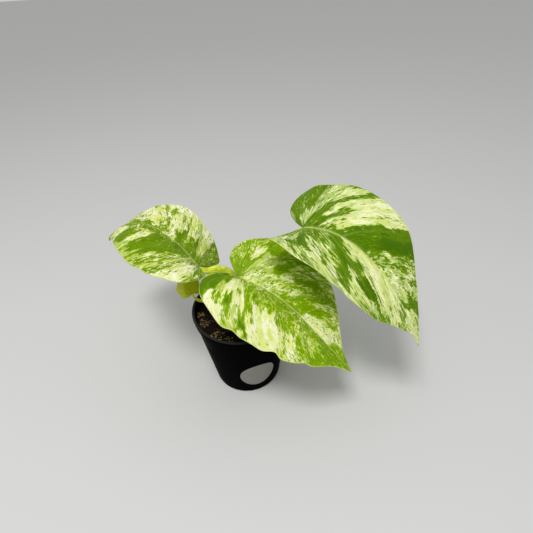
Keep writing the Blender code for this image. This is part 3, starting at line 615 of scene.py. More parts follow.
# Everything that is known of each grid point of both halves: the left half first, then the right one. The
# key is its flat place in whole steps, the same for the points where the halves meet.
def bladeArrays(leaf, build):
    data = {label: [] for label in ("surface", "pigment", "haze", "rib", "fromEdge", "place", "key", "normal",
                                    "ridge", "outward")}
    nudge, keySteps = 1e-3, 2e4
    size = min(1.0, leaf["length"] / build["fullLength"])
    for side in (1, -1):
        half = leaf["left"] if side > 0 else leaf["right"]
        x, y, t, along = (np.ravel(v) for v in veinGrid(half, build))
        here = bladePoint(leaf, side, x, y, t, along)
        ahead, behind = (bladePoint(leaf, side, x + step, y, t, along) for step in (nudge, -nudge))
        aside = bladePoint(leaf, side, x, y + nudge, t, along)
        normal = np.cross(ahead - behind, aside - here) * side
        normal /= np.linalg.norm(normal, axis=1)[:, None]
        distance = y * leaf["length"]
        ribTaper = ramp(x, -0.02, 0.02) * (1.0 - 0.8 * x)
        pigment, haze = patchFields(half, t, along, 100 + 10 * side + int(leaf["length"]))
        vein = veinPlace(half, t, along)
        grid = here.reshape(-1, build["columns"] + 1, 3)
        outward = np.zeros_like(grid)
        outward[:, -1] = grid[:, -1] - grid[:, -2]
        outward /= np.linalg.norm(outward, axis=2)[..., None] + 1e-9
        chart = (x, 0.5 + side * y) if build.get("streaksLengthwise") else (0.5 + 0.5 * side * t, vein)
        data["surface"].append(np.stack(chart, -1))
        data["pigment"].append(pigment)
        data["haze"].append(haze)
        lineWidth = build["ribLine"] * size * (1.6 - x.clip(0, 1))
        midribLine = np.exp(-(distance / lineWidth) ** 2) * ribTaper
        fromVein = (build["veins"] * vein + 0.5) % 1 - 0.5
        sideLine = np.exp(-(fromVein / build["sideLine"]) ** 2) * (1 - t) * ramp(t, 0.0, 0.05)
        data["rib"].append(np.maximum(midribLine, build["sidePale"] * sideLine))
        data["fromEdge"].append(half["width"] * leaf["length"] * (1 - t))
        data["place"].append(here + normal * pleatHeight(build, size, distance, x, t, along, vein)[:, None])
        data["key"].append(np.round(np.stack([x, side * y], -1) * keySteps).astype(int))
        data["normal"].append(normal)
        ridge = np.exp(-(distance / (build["ribWidth"] * size)) ** 2)
        data["ridge"].append(build["ribDepth"] * size * ridge * ribTaper)
        data["outward"].append(outward.reshape(-1, 3))
    return {label: np.concatenate(parts) for label, parts in data.items()}


# A closed blade: both halves as one sheet, offset up and down by half its thickness, with a ridge under
# the midrib and a rounded edge. Corner data come from the half that a face lies in.
def buildBlade(name, node, leaf, look, build):
    rows = build["fanRows"] + build["ribRows"]
    cols = build["columns"] + 1
    data = bladeArrays(leaf, build)
    keys, first, merged = np.unique(data["key"], axis=0, return_index=True, return_inverse=True)
    merged = merged.ravel()
    count = len(keys)
    normal = np.zeros((count, 3))
    np.add.at(normal, merged, data["normal"])
    normal /= np.linalg.norm(normal, axis=1)[:, None]
    place = data["place"][first]
    up = 0.5 * build["thickness"]
    upper = place + normal * up
    lower = place - normal * (up + data["ridge"][first])[:, None]

    ids = np.arange(2 * rows * cols).reshape(2, rows, cols)
    quads = np.stack([ids[:, :-1, :-1], ids[:, 1:, :-1], ids[:, 1:, 1:], ids[:, :-1, 1:]], -1)
    quads[1] = quads[1][..., ::-1]
    quads = quads.reshape(-1, 4)
    margin = np.concatenate([ids[0, :, -1], ids[1, ::-1, -1][1:-1]])
    ring = np.arange(len(margin))
    middle = data["place"][margin] + data["outward"][margin] * build["edgeRound"]

    faces, corners = [], []
    layers = ((quads, 0), (quads[:, ::-1], count))
    for corner, shift in layers:
        points = merged[corner] + shift
        same = points == np.roll(points, -1, axis=1)
        whole = ~same.any(axis=1)
        faces += points[whole].tolist()
        corners.append(corner[whole].ravel())
        # A quad with one side of no length becomes a triangle.
        for k in range(4):
            thin = same[:, k] & (same.sum(axis=1) == 1)
            keep = [j for j in range(4) if j != k]
            faces += points[thin][:, keep].tolist()
            corners.append(corner[thin][:, keep].ravel())
    layerCorners = sum(len(c) for c in corners) // len(layers)
    nextRing = np.roll(ring, -1)
    a, b = merged[margin], merged[np.roll(margin, -1)]
    rimStart = 2 * count
    for strip in (np.stack([b, a, rimStart + ring, rimStart + nextRing], -1),
                  np.stack([rimStart + nextRing, rimStart + ring, a + count, b + count], -1)):
        faces += strip.tolist()
    rimCorners = np.stack([np.roll(margin, -1), margin, margin, np.roll(margin, -1)], -1)
    corners += [rimCorners.ravel(), rimCorners[:, [0, 1, 1, 0]].ravel()]
    cornerIds = np.concatenate(corners)
    total = len(data["pigment"])
    surfaceData = {label: np.concatenate([data[label]] * 2)
                   for label in ("surface", "pigment", "haze", "rib", "fromEdge")}
    surfaceData["under"] = np.concatenate([np.zeros(total), np.ones(total)])
    cornerIds[layerCorners:2 * layerCorners] += total
    makePiece(name, np.vstack([upper, lower, middle]), faces, skinMaterial(name + "Skin", look),
              (node,), surfaceData, cornerIds, sharpAngle=100)


smallBuild = {**bladeBuild, "fanRows": 30, "ribRows": 50, "columns": 20, "veins": 6,
              "streaksLengthwise": True}
for name, node, slot, build in (("leafLeft", "leaf_left", "leaf", bladeBuild),
                                ("leafMiddle", "leaf_middle", "leaf", bladeBuild),
                                ("leafRight", "leaf_right", "leaf", bladeBuild),
                                ("leafYoung", "leaf_young", "young_leaf", smallBuild)):
    buildBlade(name, node, leafShapes[node], leafLooks[node], build)
print("leaves done")


# Stalks: centre lines in mm from the blade down to the trunk, with the radius at each point.
stalkShapes = {
    "trunk": {
        "points": ((1.0, 9.0, 26.0), (1.0, 9.0, 61.0), (0.8, 9.2, 65.0), (0.2, 9.8, 69.0)),
        "radii": (2.9, 2.9, 2.7, 2.2), "flatten": 1.0, "nodes": (58.5, 64.0), "pigment": 0.70},
    "petioleLeft": {
        "points": ((-25.6, 15.1, 84.0), (-24.6, 14.8, 83.1), (-22.4, 14.5, 81.7), (-19.5, 15.0, 80.6),
                   (-15.0, 16.5, 80.3), (-10.8, 17.8, 78.5), (-7.2, 18.3, 75.8), (-4.8, 17.7, 72.8),
                   (-2.6, 15.2, 68.2), (0.3, 11.0, 63.8)),
        "radii": (0.9, 1.3, 1.8, 2.3, 2.6, 2.7, 2.6, 2.5, 2.4, 2.3), "flatten": 0.66, "pigment": 0.46},
    "petioleMiddle": {
        "points": ((0.5, 3.5, 82.7), (-0.9, 3.3, 81.9), (-2.2, 3.0, 80.0), (-3.3, 4.6, 76.0),
                   (-1.8, 7.4, 70.5), (0.6, 9.2, 65.0)),
        "radii": (0.8, 1.0, 1.2, 1.3, 1.5, 1.8), "flatten": 0.9, "pigment": 0.55},
    "petioleRight": {
        "points": ((43.1, 25.5, 101.7), (42.2, 26.3, 100.5), (39.2, 29.2, 97.4), (35.6, 33.0, 91.8),
                   (28.5, 32.5, 82.0), (17.0, 23.5, 71.5), (7.5, 14.0, 65.5), (1.6, 9.6, 62.5)),
        "radii": (0.8, 1.0, 1.15, 1.2, 1.4, 1.7, 2.0, 2.1), "flatten": 0.9, "pigment": 0.55},
    "youngStalk": {
        "points": ((-30.6, 4.0, 72.0), (-30.3, 3.2, 71.0), (-29.5, 2.6, 69.3), (-25.6, 3.6, 64.9),
                   (-15.0, 6.2, 61.4), (-6.0, 8.0, 61.2), (0.4, 9.2, 62.0)),
        "radii": (0.6, 0.75, 0.9, 1.0, 1.1, 1.2, 1.4), "flatten": 1.0, "pigment": 0.30},
}
stalkBuild = {"sides": 24, "rings": 90, "flatAxis": (0, -0.6, 0.8), "groove": 0.16, "grooveWidth": 0.45,
              "nodeSwell": 0.5, "nodeLength": 1.1, "haze": 0.15}
stalkLook = {
    "seed": 77.7, "lengthwise": 0.10, "sidewise": 3.0, "raggedness": 0.8, "speckle": 0.6,
    "gloss": 0.40, "rib": 0.0, "edge": 0.0,
    "tones": {"cream": (0.80, 0.81, 0.14), "ivory": (0.83, 0.84, 0.20), "misty": (0.68, 0.74, 0.09),
              "lime": (0.58, 0.66, 0.03), "green": (0.40, 0.51, 0.01), "deep": (0.28, 0.40, 0.005)}}


# A closed tube: rings of a flattened circle along the smooth centre line, drawn in to a point at both ends.
# A shallow groove runs along the side that faces flatAxis, and the trunk swells at its nodes.
def buildStalk(name, shape, build, mat):
    table = np.hstack([np.array(shape["points"], float), np.array(shape["radii"], float)[:, None]])
    line = smoothLine(table, build["rings"])
    centre, radius = line[:, :3], line[:, 3]
    tangent = np.gradient(centre, axis=0)
    tangent /= np.linalg.norm(tangent, axis=1)[:, None]
    run = np.concatenate([[0], np.cumsum(np.linalg.norm(np.diff(centre, axis=0), axis=1))])
    for height in shape.get("nodes", ()):
        radius = radius + build["nodeSwell"] * np.exp(-((centre[:, 2] - height) / build["nodeLength"]) ** 2)
    reach = np.minimum(run, run[-1] - run) / radius
    radius = radius * np.sqrt(np.clip(1 - (1 - np.clip(reach, 0, 1)) ** 2, 0, 1))
    flatAxis = np.array(build["flatAxis"], float)
    thin = flatAxis - tangent * (tangent @ flatAxis)[:, None]
    thin /= np.linalg.norm(thin, axis=1)[:, None]
    wide = np.cross(tangent, thin)
    angle = 2 * math.pi * np.arange(build["sides"]) / build["sides"]
    dent = np.exp(-((angle - math.pi / 2) / build["grooveWidth"]) ** 2) * (shape["flatten"] < 1)
    dent = 1 - build["groove"] * dent
    circle = (wide[:, None] * np.cos(angle)[None, :, None]
              + shape["flatten"] * thin[:, None] * (np.sin(angle) * dent)[None, :, None])
    body = centre[1:-1, None] + circle[1:-1] * radius[1:-1, None, None]
    rings, sides = body.shape[:2]
    points = np.vstack([body.reshape(-1, 3), centre[:1], centre[-1:]])
    around = np.abs(2 * np.arange(sides) / sides - 1)
    surface = np.stack([np.repeat(run[1:-1], sides), np.tile(around, rings)], -1)
    surface = np.vstack([surface, [[0, 0.5], [run[-1], 0.5]]])
    flat = np.ones(len(points))
    makePiece(name, points, ringFaces(rings, sides), mat, ("stem",),
              {"surface": surface, "pigment": flat * shape["pigment"], "haze": flat * build["haze"],
               "rib": flat * 0, "fromEdge": flat, "under": flat * 0})


stalkSkin = skinMaterial("stalkSkin", stalkLook)
for name, shape in stalkShapes.items():
    buildStalk(name, shape, stalkBuild, stalkSkin)
print("stalks done")


# Pot: a thin moulded shell on a low foot ring, with a rim band and drain holes in its floor. A pale band
# at the rim's top edge is a painted highlight.
pot = {"height": 62.0, "rimRadius": 32.0, "baseRadius": 23.0, "wall": 1.0, "floor": 1.4, "bandHeight": 5.5,
       "bandStep": 0.7, "footBevel": 0.8, "footRise": 0.7, "footWidth": 2.4, "corner": 0.35, "sides": 160,
       "holes": 5, "holeRadius": 3.0, "holeCircle": 14.5, "holeSides": 28, "holeCut": (-3.0, 5.0),
       "color": (0.0014, 0.0015, 0.0018), "dust": (0.009, 0.0088, 0.0082), "dustTop": 12.0,
       "rimHighlight": (0.026, 0.025, 0.023), "highlightBand": (0.5, 0.1), "gloss": 0.34, "sharpAngle": 50}


def potRadius(z):
    return pot["baseRadius"] + (pot["rimRadius"] - pot["bandStep"] - pot["baseRadius"]) * z / pot["height"]


# Rounds each corner of a (radius, height) outline with a quadratic curve of about the given size.
def roundedOutline(points, size, steps=5):
    p = np.array(points, float)
    out = [p[0]]
    for before, corner, after in zip(p[:-2], p[1:-1], p[2:]):
        cut = min(size, 0.45 * np.linalg.norm(before - corner), 0.45 * np.linalg.norm(after - corner))
        start = corner + (before - corner) / np.linalg.norm(before - corner) * cut
        end = corner + (after - corner) / np.linalg.norm(after - corner) * cut
        t = np.linspace(0, 1, steps)[:, None]
        out += list((1 - t) ** 2 * start + 2 * t * (1 - t) * corner + t ** 2 * end)
    return np.array(out + [p[-1]])


# A closed shape turned about Z from an outline whose two ends lie on the axis.
def turnedShape(outline, sides):
    angle = 2 * math.pi * np.arange(sides) / sides
    r, z = outline[1:-1, :1], outline[1:-1, 1:]
    body = np.stack([r * np.cos(angle), r * np.sin(angle), np.repeat(z, sides, 1)], -1)
    poles = [[0, 0, outline[0, 1]], [0, 0, outline[-1, 1]]]
    return np.vstack([body.reshape(-1, 3), poles]), ringFaces(len(r), sides)


def plasticMaterial():
    mat, tree, shader = newMaterial("blackPlastic", Specular_IOR_Level=0.002)
    place = objectPlace(tree)
    grain = noise(tree, place, 2600, 2.0)
    cloud = noise(tree, place, 90, 4.0, 0.6)
    apart = tree.nodes.new("ShaderNodeSeparateXYZ")
    put(tree, apart.inputs[0], place)
    low = mapped(tree, apart.outputs[2], 0.0, pot["dustTop"] * mm, 1.0, 0.0)
    dusty = calc(tree, "MULTIPLY", mapped(tree, cloud, 0.45, 0.75), calc(tree, "ADD", low, 0.35), clamp=True)
    color = mixed(tree, calc(tree, "MULTIPLY", dusty, 0.35), pot["color"], pot["dust"])
    # Painted highlight: a thin pale band in the base colour at the rim's top edge.
    rimHighlightMask = mapped(tree, apart.outputs[2], *((pot["height"] - below) * mm for below in pot["highlightBand"]))
    put(tree, shader["Base Color"], mixed(tree, rimHighlightMask, color, pot["rimHighlight"]))
    uneven = calc(tree, "ADD", cloud, calc(tree, "MULTIPLY", grain, 0.3))
    put(tree, shader["Roughness"], mapped(tree, uneven, 0.4, 0.9, pot["gloss"], pot["gloss"] + 0.2))
    put(tree, shader["Normal"], bump(tree, grain, 0.00006, 0.5))
    return mat


# An upright closed cylinder at (x, y) that cuts one drain hole.
def holeCutter(x, y):
    sides, (low, high) = pot["holeSides"], pot["holeCut"]
    outline = np.array([(0, low), (pot["holeRadius"], low), (pot["holeRadius"], high), (0, high)])
    points, faces = turnedShape(outline, sides)
    mesh = bpy.data.meshes.new("holeCutter")
    mesh.from_pydata(((points + (x, y, 0)) * mm).tolist(), [], faces)
    cutter = bpy.data.objects.new("holeCutter", mesh)
    bpy.context.scene.collection.objects.link(cutter)
    return cutter


def buildPot():
    foot, rise = pot["baseRadius"], pot["footRise"]
    bandLow = pot["height"] - pot["bandHeight"]
    innerLow = potRadius(pot["floor"]) - pot["wall"]
    innerTop = pot["rimRadius"] - pot["bandStep"] - pot["wall"]
    inFoot = foot - pot["footWidth"]
    outline = [(0, rise), (14, rise), (inFoot - 0.8, rise - 0.1), (inFoot, 0.0),
               (foot - pot["footBevel"], 0.0), (potRadius(pot["footBevel"]), pot["footBevel"]),
               (potRadius(bandLow), bandLow), (potRadius(bandLow) + pot["bandStep"], bandLow + 0.5),
               (pot["rimRadius"], pot["height"]), (innerTop, pot["height"]),
               (innerLow, pot["floor"]), (0, pot["floor"])]
    points, faces = turnedShape(roundedOutline(outline, pot["corner"]), pot["sides"])
    piece = makePiece("potShell", points, faces, plasticMaterial(), ("pot",),
                      sharpAngle=pot["sharpAngle"])
    for k in range(pot["holes"]):
        around = 2 * math.pi * (k + 0.25) / pot["holes"]
        cutter = holeCutter(pot["holeCircle"] * math.cos(around), pot["holeCircle"] * math.sin(around))
        mod = piece.modifiers.new("drainHole", "BOOLEAN")
        mod.operation, mod.solver, mod.object = "DIFFERENCE", "EXACT", cutter
        depsgraph = bpy.context.evaluated_depsgraph_get()
        cut = bpy.data.meshes.new_from_object(piece.evaluated_get(depsgraph))
        piece.modifiers.clear()
        piece.data = cut
        bpy.data.objects.remove(cutter, do_unlink=True)
    piece.data.set_sharp_from_angle(angle=math.radians(pot["sharpAngle"]))


buildPot()
print("pot done")


# Potting mix: a rough bed with chips of bark and threads of coir on it. heaps are x, y, size and rise, and
# crumbs the cell size, height and seed of each layer of noise.
soil = {"level": 56.5, "gap": 0.3, "rings": 110, "sides": 200, "waves": 5, "waveHeight": 0.25,
        "domes": 60, "domeReach": 28,
        "heaps": ((-27, -4, 5, 2.4), (-24, -10, 5, 1.8), (-14, -22, 6, 2.8), (-7, -26, 4, 1.4)),
        "crumbs": ((2.1, 0.45, 3), (0.9, 0.32, 4), (0.45, 0.2, 5)), "mostRise": 0.6, "seed": 12,
        "dark": (0.004, 0.003, 0.002), "brown": (0.026, 0.016, 0.008), "tan": (0.30, 0.20, 0.075),
        "coir": (0.17, 0.10, 0.045)}


# Height of the bed in mm: a few broad waves and domes as in the solid, low heaps at the front and left,
# then three finer layers of lattice noise for the crumbs.
def soilHeight(x, y):
    rng = np.random.default_rng(soil["seed"])
    z = np.full_like(x, soil["level"])
    for k in range(soil["waves"]):
        a = rng.uniform(0, 2 * math.pi)
        w = rng.uniform(0.7, 1.5)
        z = z + soil["waveHeight"] * np.sin(w * (x * math.cos(a) + y * math.sin(a)) + rng.uniform(0, 6))
    for k in range(soil["domes"]):
        r = soil["domeReach"] * math.sqrt(rng.uniform())
        a = rng.uniform(0, 2 * math.pi)
        size = rng.uniform(1.8, 3.4)
        d = np.hypot(x - r * math.cos(a), y - r * math.sin(a)) / size
        z = z + rng.uniform(0.5, 1.5) * np.clip(1 - d ** 2, 0, 1) ** 0.7
    for cx, cy, size, rise in soil["heaps"]:
        z = z + rise * np.clip(1 - (np.hypot(x - cx, y - cy) / size) ** 2, 0, 1)
    for cell, height, seed in soil["crumbs"]:
        z = z + height * latticeNoise(x, y, cell, seed)
    return np.minimum(z, pot["height"] + soil["mostRise"])


def innerRadius(z):
    low = potRadius(pot["floor"]) - pot["wall"]
    top = pot["rimRadius"] - pot["bandStep"] - pot["wall"]
    return low + (top - low) * (z - pot["floor"]) / (pot["height"] - pot["floor"])


# The bed as one closed form: a floor, a wall that keeps the gap to the pot, and the rough top.
def buildSoilBed():
    edge = innerRadius(soil["level"]) - 0.5 * soil["gap"]
    r = edge * np.linspace(0, 1, soil["rings"] + 1)[1:, None]
    angle = 2 * math.pi * np.arange(soil["sides"]) / soil["sides"]
    x, y = r * np.cos(angle), r * np.sin(angle)
    z = soilHeight(x, y)
    z[-1] = soil["level"] - 1.0
    top = np.stack([x, y, z], -1)[::-1]
    foot = pot["floor"] + soil["gap"]
    wallZ = np.array([foot, foot + 0.6, soil["level"] - 4])
    wallR = innerRadius(wallZ) - soil["gap"] * np.array([3, 1, 1])
    wall = np.stack([wallR[:, None] * np.cos(angle), wallR[:, None] * np.sin(angle),
                     np.repeat(wallZ[:, None], len(angle), 1)], -1)
    body = np.concatenate([wall, top])
    middleHeight = soilHeight(np.zeros(1), np.zeros(1))[0]
    points = np.vstack([body.reshape(-1, 3), [[0, 0, foot], [0, 0, middleHeight]]])
    mat, tree, shader = newMaterial("pottingMix", Specular_IOR_Level=0.1, Roughness=0.92)
    place = objectPlace(tree)
    crumbs = noise(tree, place, 1500, 4.0, 0.7)
    patches = noise(tree, place, 260, 3.0, 0.6)
    color = mixed(tree, mapped(tree, crumbs, 0.48, 0.68), soil["dark"], soil["brown"])
    color = mixed(tree, calc(tree, "MULTIPLY", mapped(tree, patches, 0.56, 0.72), 0.4), color, soil["brown"])
    put(tree, shader["Base Color"], color)
    put(tree, shader["Normal"], bump(tree, crumbs, 0.0004, 0.8))
    makePiece("soilBed", points, ringFaces(*body.shape[:2]), mat, ("soil",), sharpAngle=180)


# Chips of bark in mm: how many, how much of them on the heaps and how far they scatter there in parts of a
# heap's size, their sizes and shades (from, to), and how far they keep from the trunk and the pot's wall.
chip = {"count": 560, "onHeaps": 0.38, "scatter": 0.30, "size": (0.35, 0.85), "heapShade": (0.30, 1.0),
        "heapPower": 1.6, "bedShade": (0.0, 0.45), "bedPower": 1.8, "trunk": (1.0, 9.0), "fromTrunk": 4.2,
        "fromWall": (2.2, 1.4), "lift": 0.25, "mostRise": 1.6, "seed": 31,
        "stretch": ((0.9, 1.9), (0.6, 1.1), (0.3, 0.7))}


# Jittered icosahedra, flattened and turned at random, half sunk in the bed. More of them and paler ones lie
# on the heaps.
def buildChips():
    rng = np.random.default_rng(chip["seed"])
    g = (1 + 5 ** 0.5) / 2
    base = np.array([(-1, g, 0), (1, g, 0), (-1, -g, 0), (1, -g, 0), (0, -1, g), (0, 1, g), (0, -1, -g),
                     (0, 1, -g), (g, 0, -1), (g, 0, 1), (-g, 0, -1), (-g, 0, 1)]) / math.hypot(1, g)
    sides = np.array([(0, 11, 5), (0, 5, 1), (0, 1, 7), (0, 7, 10), (0, 10, 11), (1, 5, 9), (5, 11, 4),
                      (11, 10, 2), (10, 7, 6), (7, 1, 8), (3, 9, 4), (3, 4, 2), (3, 2, 6), (3, 6, 8),
                      (3, 8, 9), (4, 9, 5), (2, 4, 11), (6, 2, 10), (8, 6, 7), (9, 8, 1)])
    count = chip["count"]
    wall = innerRadius(soil["level"])
    loose, limit = (wall - inset for inset in chip["fromWall"])
    heaps = np.array(soil["heaps"], float)
    pick = rng.integers(0, len(heaps), count)
    onHeap = rng.uniform(size=count) < chip["onHeaps"]
    r = loose * np.sqrt(rng.uniform(size=count))
    a = rng.uniform(0, 2 * math.pi, count)
    heapX, heapY, heapSize = heaps[pick, :3].T
    x = np.where(onHeap, heapX + rng.normal(0, chip["scatter"], count) * heapSize, r * np.cos(a))
    y = np.where(onHeap, heapY + rng.normal(0, chip["scatter"], count) * heapSize, r * np.sin(a))
    inward = np.minimum(1, limit / np.hypot(x, y))
    x, y = x * inward, y * inward
    keep = np.hypot(x - chip["trunk"][0], y - chip["trunk"][1]) > chip["fromTrunk"]
    x, y, onHeap = x[keep], y[keep], onHeap[keep]
    count = len(x)
    size = rng.uniform(*chip["size"], count) * np.where(onHeap, 1.0, 0.85)
    stretch = np.stack([rng.uniform(*span, count) for span in chip["stretch"]], -1)
    corners = len(base)
    shape = base[None] * rng.uniform(0.75, 1.25, (count, corners, 1)) * stretch[:, None] * size[:, None, None]
    spin, tilt = rng.uniform(0, 2 * math.pi, count), rng.normal(0, 0.55, count)
    cs, sn, ct, st = np.cos(spin), np.sin(spin), np.cos(tilt), np.sin(tilt)
    zero, one = np.zeros(count), np.ones(count)
    turnZ = np.stack([np.stack([cs, -sn, zero], -1), np.stack([sn, cs, zero], -1),
                      np.stack([zero, zero, one], -1)], 1)
    turnX = np.stack([np.stack([one, zero, zero], -1), np.stack([zero, ct, -st], -1),
                      np.stack([zero, st, ct], -1)], 1)
    turned = np.einsum("nij,nkj->nki", turnZ @ turnX, shape)
    height = soilHeight(x, y) + chip["lift"] * size
    points = turned + np.stack([x, y, height], -1)[:, None]
    points[..., 2] = np.minimum(points[..., 2], pot["height"] + chip["mostRise"])
    faces = (sides[None] + corners * np.arange(count)[:, None, None]).reshape(-1, 3)
    shade = np.where(onHeap, rng.uniform(*chip["heapShade"], count) ** chip["heapPower"],
                     rng.uniform(*chip["bedShade"], count) ** chip["bedPower"])
    mat, tree, shader = newMaterial("barkChip", Specular_IOR_Level=0.1, Roughness=0.85)
    grain = noise(tree, objectPlace(tree), 1800, 3.0, 0.6)
    tone = calc(tree, "ADD", attribute(tree, "shade"), mapped(tree, grain, 0.3, 0.7, -0.25, 0.25), clamp=True)
    color = mixed(tree, mapped(tree, tone, 0.0, 0.45), soil["dark"], soil["brown"])
    put(tree, shader["Base Color"], mixed(tree, mapped(tree, tone, 0.4, 1.0), color, soil["tan"]))
    put(tree, shader["Normal"], bump(tree, grain, 0.0003, 0.6))
    makePiece("barkChips", points.reshape(-1, 3), faces.tolist(), mat, (),
              {"shade": np.repeat(shade, corners)}, sharpAngle=25)


# Threads of coir in mm: their length and rise (from, to), and how far they bow to a side.
thread = {"count": 90, "rings": 7, "sides": 3, "radius": 0.11, "length": (3, 8), "bow": 1.2, "rise": (0.1, 0.9),
          "lift": 0.15, "fromWall": 5.0, "seed": 8}


# Thin tubes bent in an arc over the bed, thinner towards their ends.
def buildThreads():
    rng = np.random.default_rng(thread["seed"])
    count, rings, sides = thread["count"], thread["rings"], thread["sides"]
    r = (innerRadius(soil["level"]) - thread["fromWall"]) * np.sqrt(rng.uniform(size=count))
    a = rng.uniform(0, 2 * math.pi, count)
    spin = rng.uniform(0, 2 * math.pi, count)
    length = rng.uniform(*thread["length"], count)
    bow = rng.uniform(-thread["bow"], thread["bow"], count)
    s = np.linspace(-0.5, 0.5, rings)
    alongX = length[:, None] * s
    sideways = bow[:, None] * (1 - 4 * s ** 2)
    x = (r * np.cos(a))[:, None] + alongX * np.cos(spin)[:, None] - sideways * np.sin(spin)[:, None]
    y = (r * np.sin(a))[:, None] + alongX * np.sin(spin)[:, None] + sideways * np.cos(spin)[:, None]
    z = soilHeight(x, y) + thread["lift"] + rng.uniform(*thread["rise"], count)[:, None] * (1 - 4 * s ** 2)
    centre = np.stack([x, y, z], -1)
    angle = 2 * math.pi * np.arange(sides) / sides
    across = np.stack([-np.sin(spin), np.cos(spin), np.zeros(count)], -1)[:, None, None]
    radius = (thread["radius"] * (1 - 3 * s ** 2))[None, :, None, None]
    ring = centre[:, :, None] + radius * (across * np.cos(angle)[None, None, :, None]
                                          + np.array([0, 0, 1]) * np.sin(angle)[None, None, :, None])
    ids = np.arange(count * rings * sides).reshape(count, rings, sides)
    after = np.roll(ids, -1, axis=2)
    quads = np.stack([ids[:, :-1], after[:, :-1], after[:, 1:], ids[:, 1:]], -1).reshape(-1, 4)
    caps = np.vstack([ids[:, 0, ::-1], ids[:, -1]])
    mat, tree, shader = newMaterial("coirThread", Specular_IOR_Level=0.25, Roughness=0.8)
    grain = noise(tree, objectPlace(tree), 900, 2.0)
    put(tree, shader["Base Color"], mixed(tree, mapped(tree, grain, 0.35, 0.7), soil["brown"], soil["coir"]))
    makePiece("coirThreads", ring.reshape(-1, 3), quads.tolist() + caps.tolist(), mat)


buildSoilBed()
buildChips()
buildThreads()
print("potting mix done")


# Label: a bare paper disc stuck on the tapered wall. Its tone is grey: painted shade darkens the white paper.
label = {"radius": 12.0, "height": 21.0, "heading": -72.1, "thickness": 0.22, "gap": 0.12, "edgeRound": 0.06,
         "rings": 24, "sides": 96, "shadedPaper": (0.25, 0.245, 0.22), "soiled": (0.17, 0.165, 0.145)}


# A disc of polar rings wrapped on the cone of the wall: its x follows the girth and its y the slope. The
# front and back meet in a rounded edge.
def buildLabel():
    slope = (pot["rimRadius"] - pot["bandStep"] - pot["baseRadius"]) / pot["height"]
    girth = potRadius(label["height"])
    a = 2 * math.pi * np.arange(label["sides"]) / label["sides"]
    shares = np.linspace(0, 1, label["rings"] + 1)[1:]
    frontR = label["radius"] * shares - label["edgeRound"] * (shares == 1)
    r = np.concatenate([frontR, [label["radius"]], frontR[::-1]])
    lift = np.concatenate([np.full(len(frontR), label["thickness"]), [0.5 * label["thickness"]],
                           np.zeros(len(frontR))])

    def wrap(r, a, lift):
        z = label["height"] + r * np.sin(a) / math.hypot(1, slope)
        radius = potRadius(z) + label["gap"] + lift
        around = math.radians(label["heading"]) + r * np.cos(a) / girth
        return np.stack([radius * np.cos(around), radius * np.sin(around), z - slope * lift], -1)

    body = wrap(r[:, None], a[None], lift[:, None])
    poles = np.vstack([wrap(np.zeros(1), np.zeros(1), np.array([h])) for h in (label["thickness"], 0.0)])
    points = np.vstack([body.reshape(-1, 3), poles])
    faces = ringFaces(*body.shape[:2], flipped=True)
    mat, tree, shader = newMaterial("labelPaper", Specular_IOR_Level=0.3)
    place = objectPlace(tree)
    fibres = noise(tree, place, 3200, 3.0, 0.7)
    smudge = noise(tree, place, 120, 3.0, 0.6)
    # The paper tone carries painted shade: white paper darkened to grey. Smudges and fibres are darker still.
    color = mixed(tree, mapped(tree, smudge, 0.5, 0.8, 0.0, 0.3), label["shadedPaper"], label["soiled"])
    flecked = mapped(tree, fibres, 0.3, 0.8, 0.0, 0.12)
    put(tree, shader["Base Color"], mixed(tree, flecked, color, label["soiled"]))
    put(tree, shader["Roughness"], mapped(tree, smudge, 0.3, 0.8, 0.5, 0.68))
    put(tree, shader["Normal"], bump(tree, fibres, 0.00004, 0.6))
    makePiece("labelDisc", points, faces, mat, ("label",), sharpAngle=60)


buildLabel()
print("label done")


# Stage: a plain pale floor, a wide soft lamp overhead and an even pale sky.
stage = {"floor": (0.62, 0.62, 0.61), "floorSize": 6.0, "lampPlace": (-0.10, -0.28, 0.90), "lampSize": 0.24,
         "lampPower": 4.9, "sky": (1.0, 1.0, 1.0), "skyStrength": 0.58}


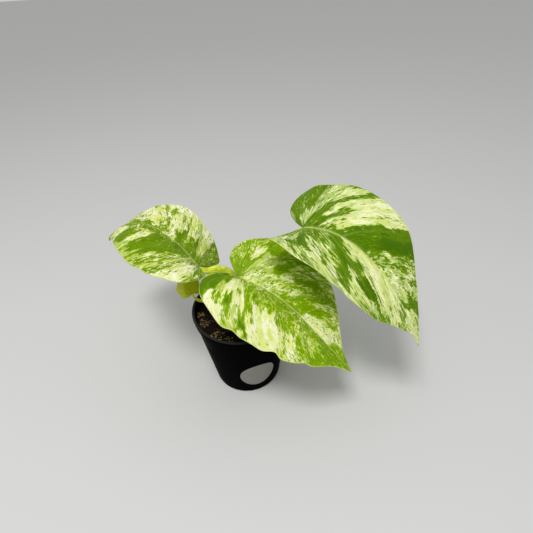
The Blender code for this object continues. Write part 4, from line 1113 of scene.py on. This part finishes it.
def buildStage():
    reach = 0.5 * stage["floorSize"]
    corners = [(x * reach, y * reach, 0) for x, y in ((-1, -1), (1, -1), (1, 1), (-1, 1))]
    mesh = bpy.data.meshes.new("floor")
    mesh.from_pydata(corners, [], [(0, 1, 2, 3)])
    mat, tree, shader = newMaterial("paleFloor", Roughness=0.75, Specular_IOR_Level=0.2)
    put(tree, shader["Base Color"], stage["floor"])
    mesh.materials.append(mat)
    floor = bpy.data.objects.new("floor", mesh)
    bpy.context.scene.collection.objects.link(floor)
    lamp = bpy.data.lights.new("overheadLamp", "AREA")
    lamp.shape = "SQUARE"
    lamp.size = stage["lampSize"]
    lamp.energy = stage["lampPower"]
    light = bpy.data.objects.new("overheadLamp", lamp)
    light.location = stage["lampPlace"]
    bpy.context.scene.collection.objects.link(light)
    world = bpy.data.worlds.new("paleSky")
    world.use_nodes = True
    sky = world.node_tree.nodes["Background"].inputs
    put(world.node_tree, sky["Color"], stage["sky"])
    put(world.node_tree, sky["Strength"], stage["skyStrength"])
    bpy.context.scene.world = world
    bpy.context.scene.view_settings.view_transform = "Standard"


# Camera at the photograph's angle: place in mm, degrees down and degrees of roll, focal length in widths.
camera = {"place": (18.0, -185.0, 246.0), "down": 39.5, "roll": -3.6, "focal": 400 / 533, "sensor": 36.0}


def buildCamera():
    down, roll = math.radians(camera["down"]), math.radians(camera["roll"])
    forward = Vector((0, math.cos(down), -math.sin(down)))
    right = Vector((1, 0, 0))
    up = right.cross(forward)
    turnedRight = right * math.cos(roll) + up * math.sin(roll)
    turnedUp = up * math.cos(roll) - right * math.sin(roll)
    data = bpy.data.cameras.new("photoCamera")
    data.sensor_width = camera["sensor"]
    data.lens = camera["focal"] * camera["sensor"]
    data.clip_start, data.clip_end = 0.01, 20
    ob = bpy.data.objects.new("photoCamera", data)
    bpy.context.scene.collection.objects.link(ob)
    ob.matrix_world = Matrix.Translation(Vector(camera["place"]) * mm) @ Matrix(
        (turnedRight, turnedUp, -forward)).transposed().to_4x4()
    bpy.context.scene.camera = ob


buildStage()
buildCamera()
print("stage done")
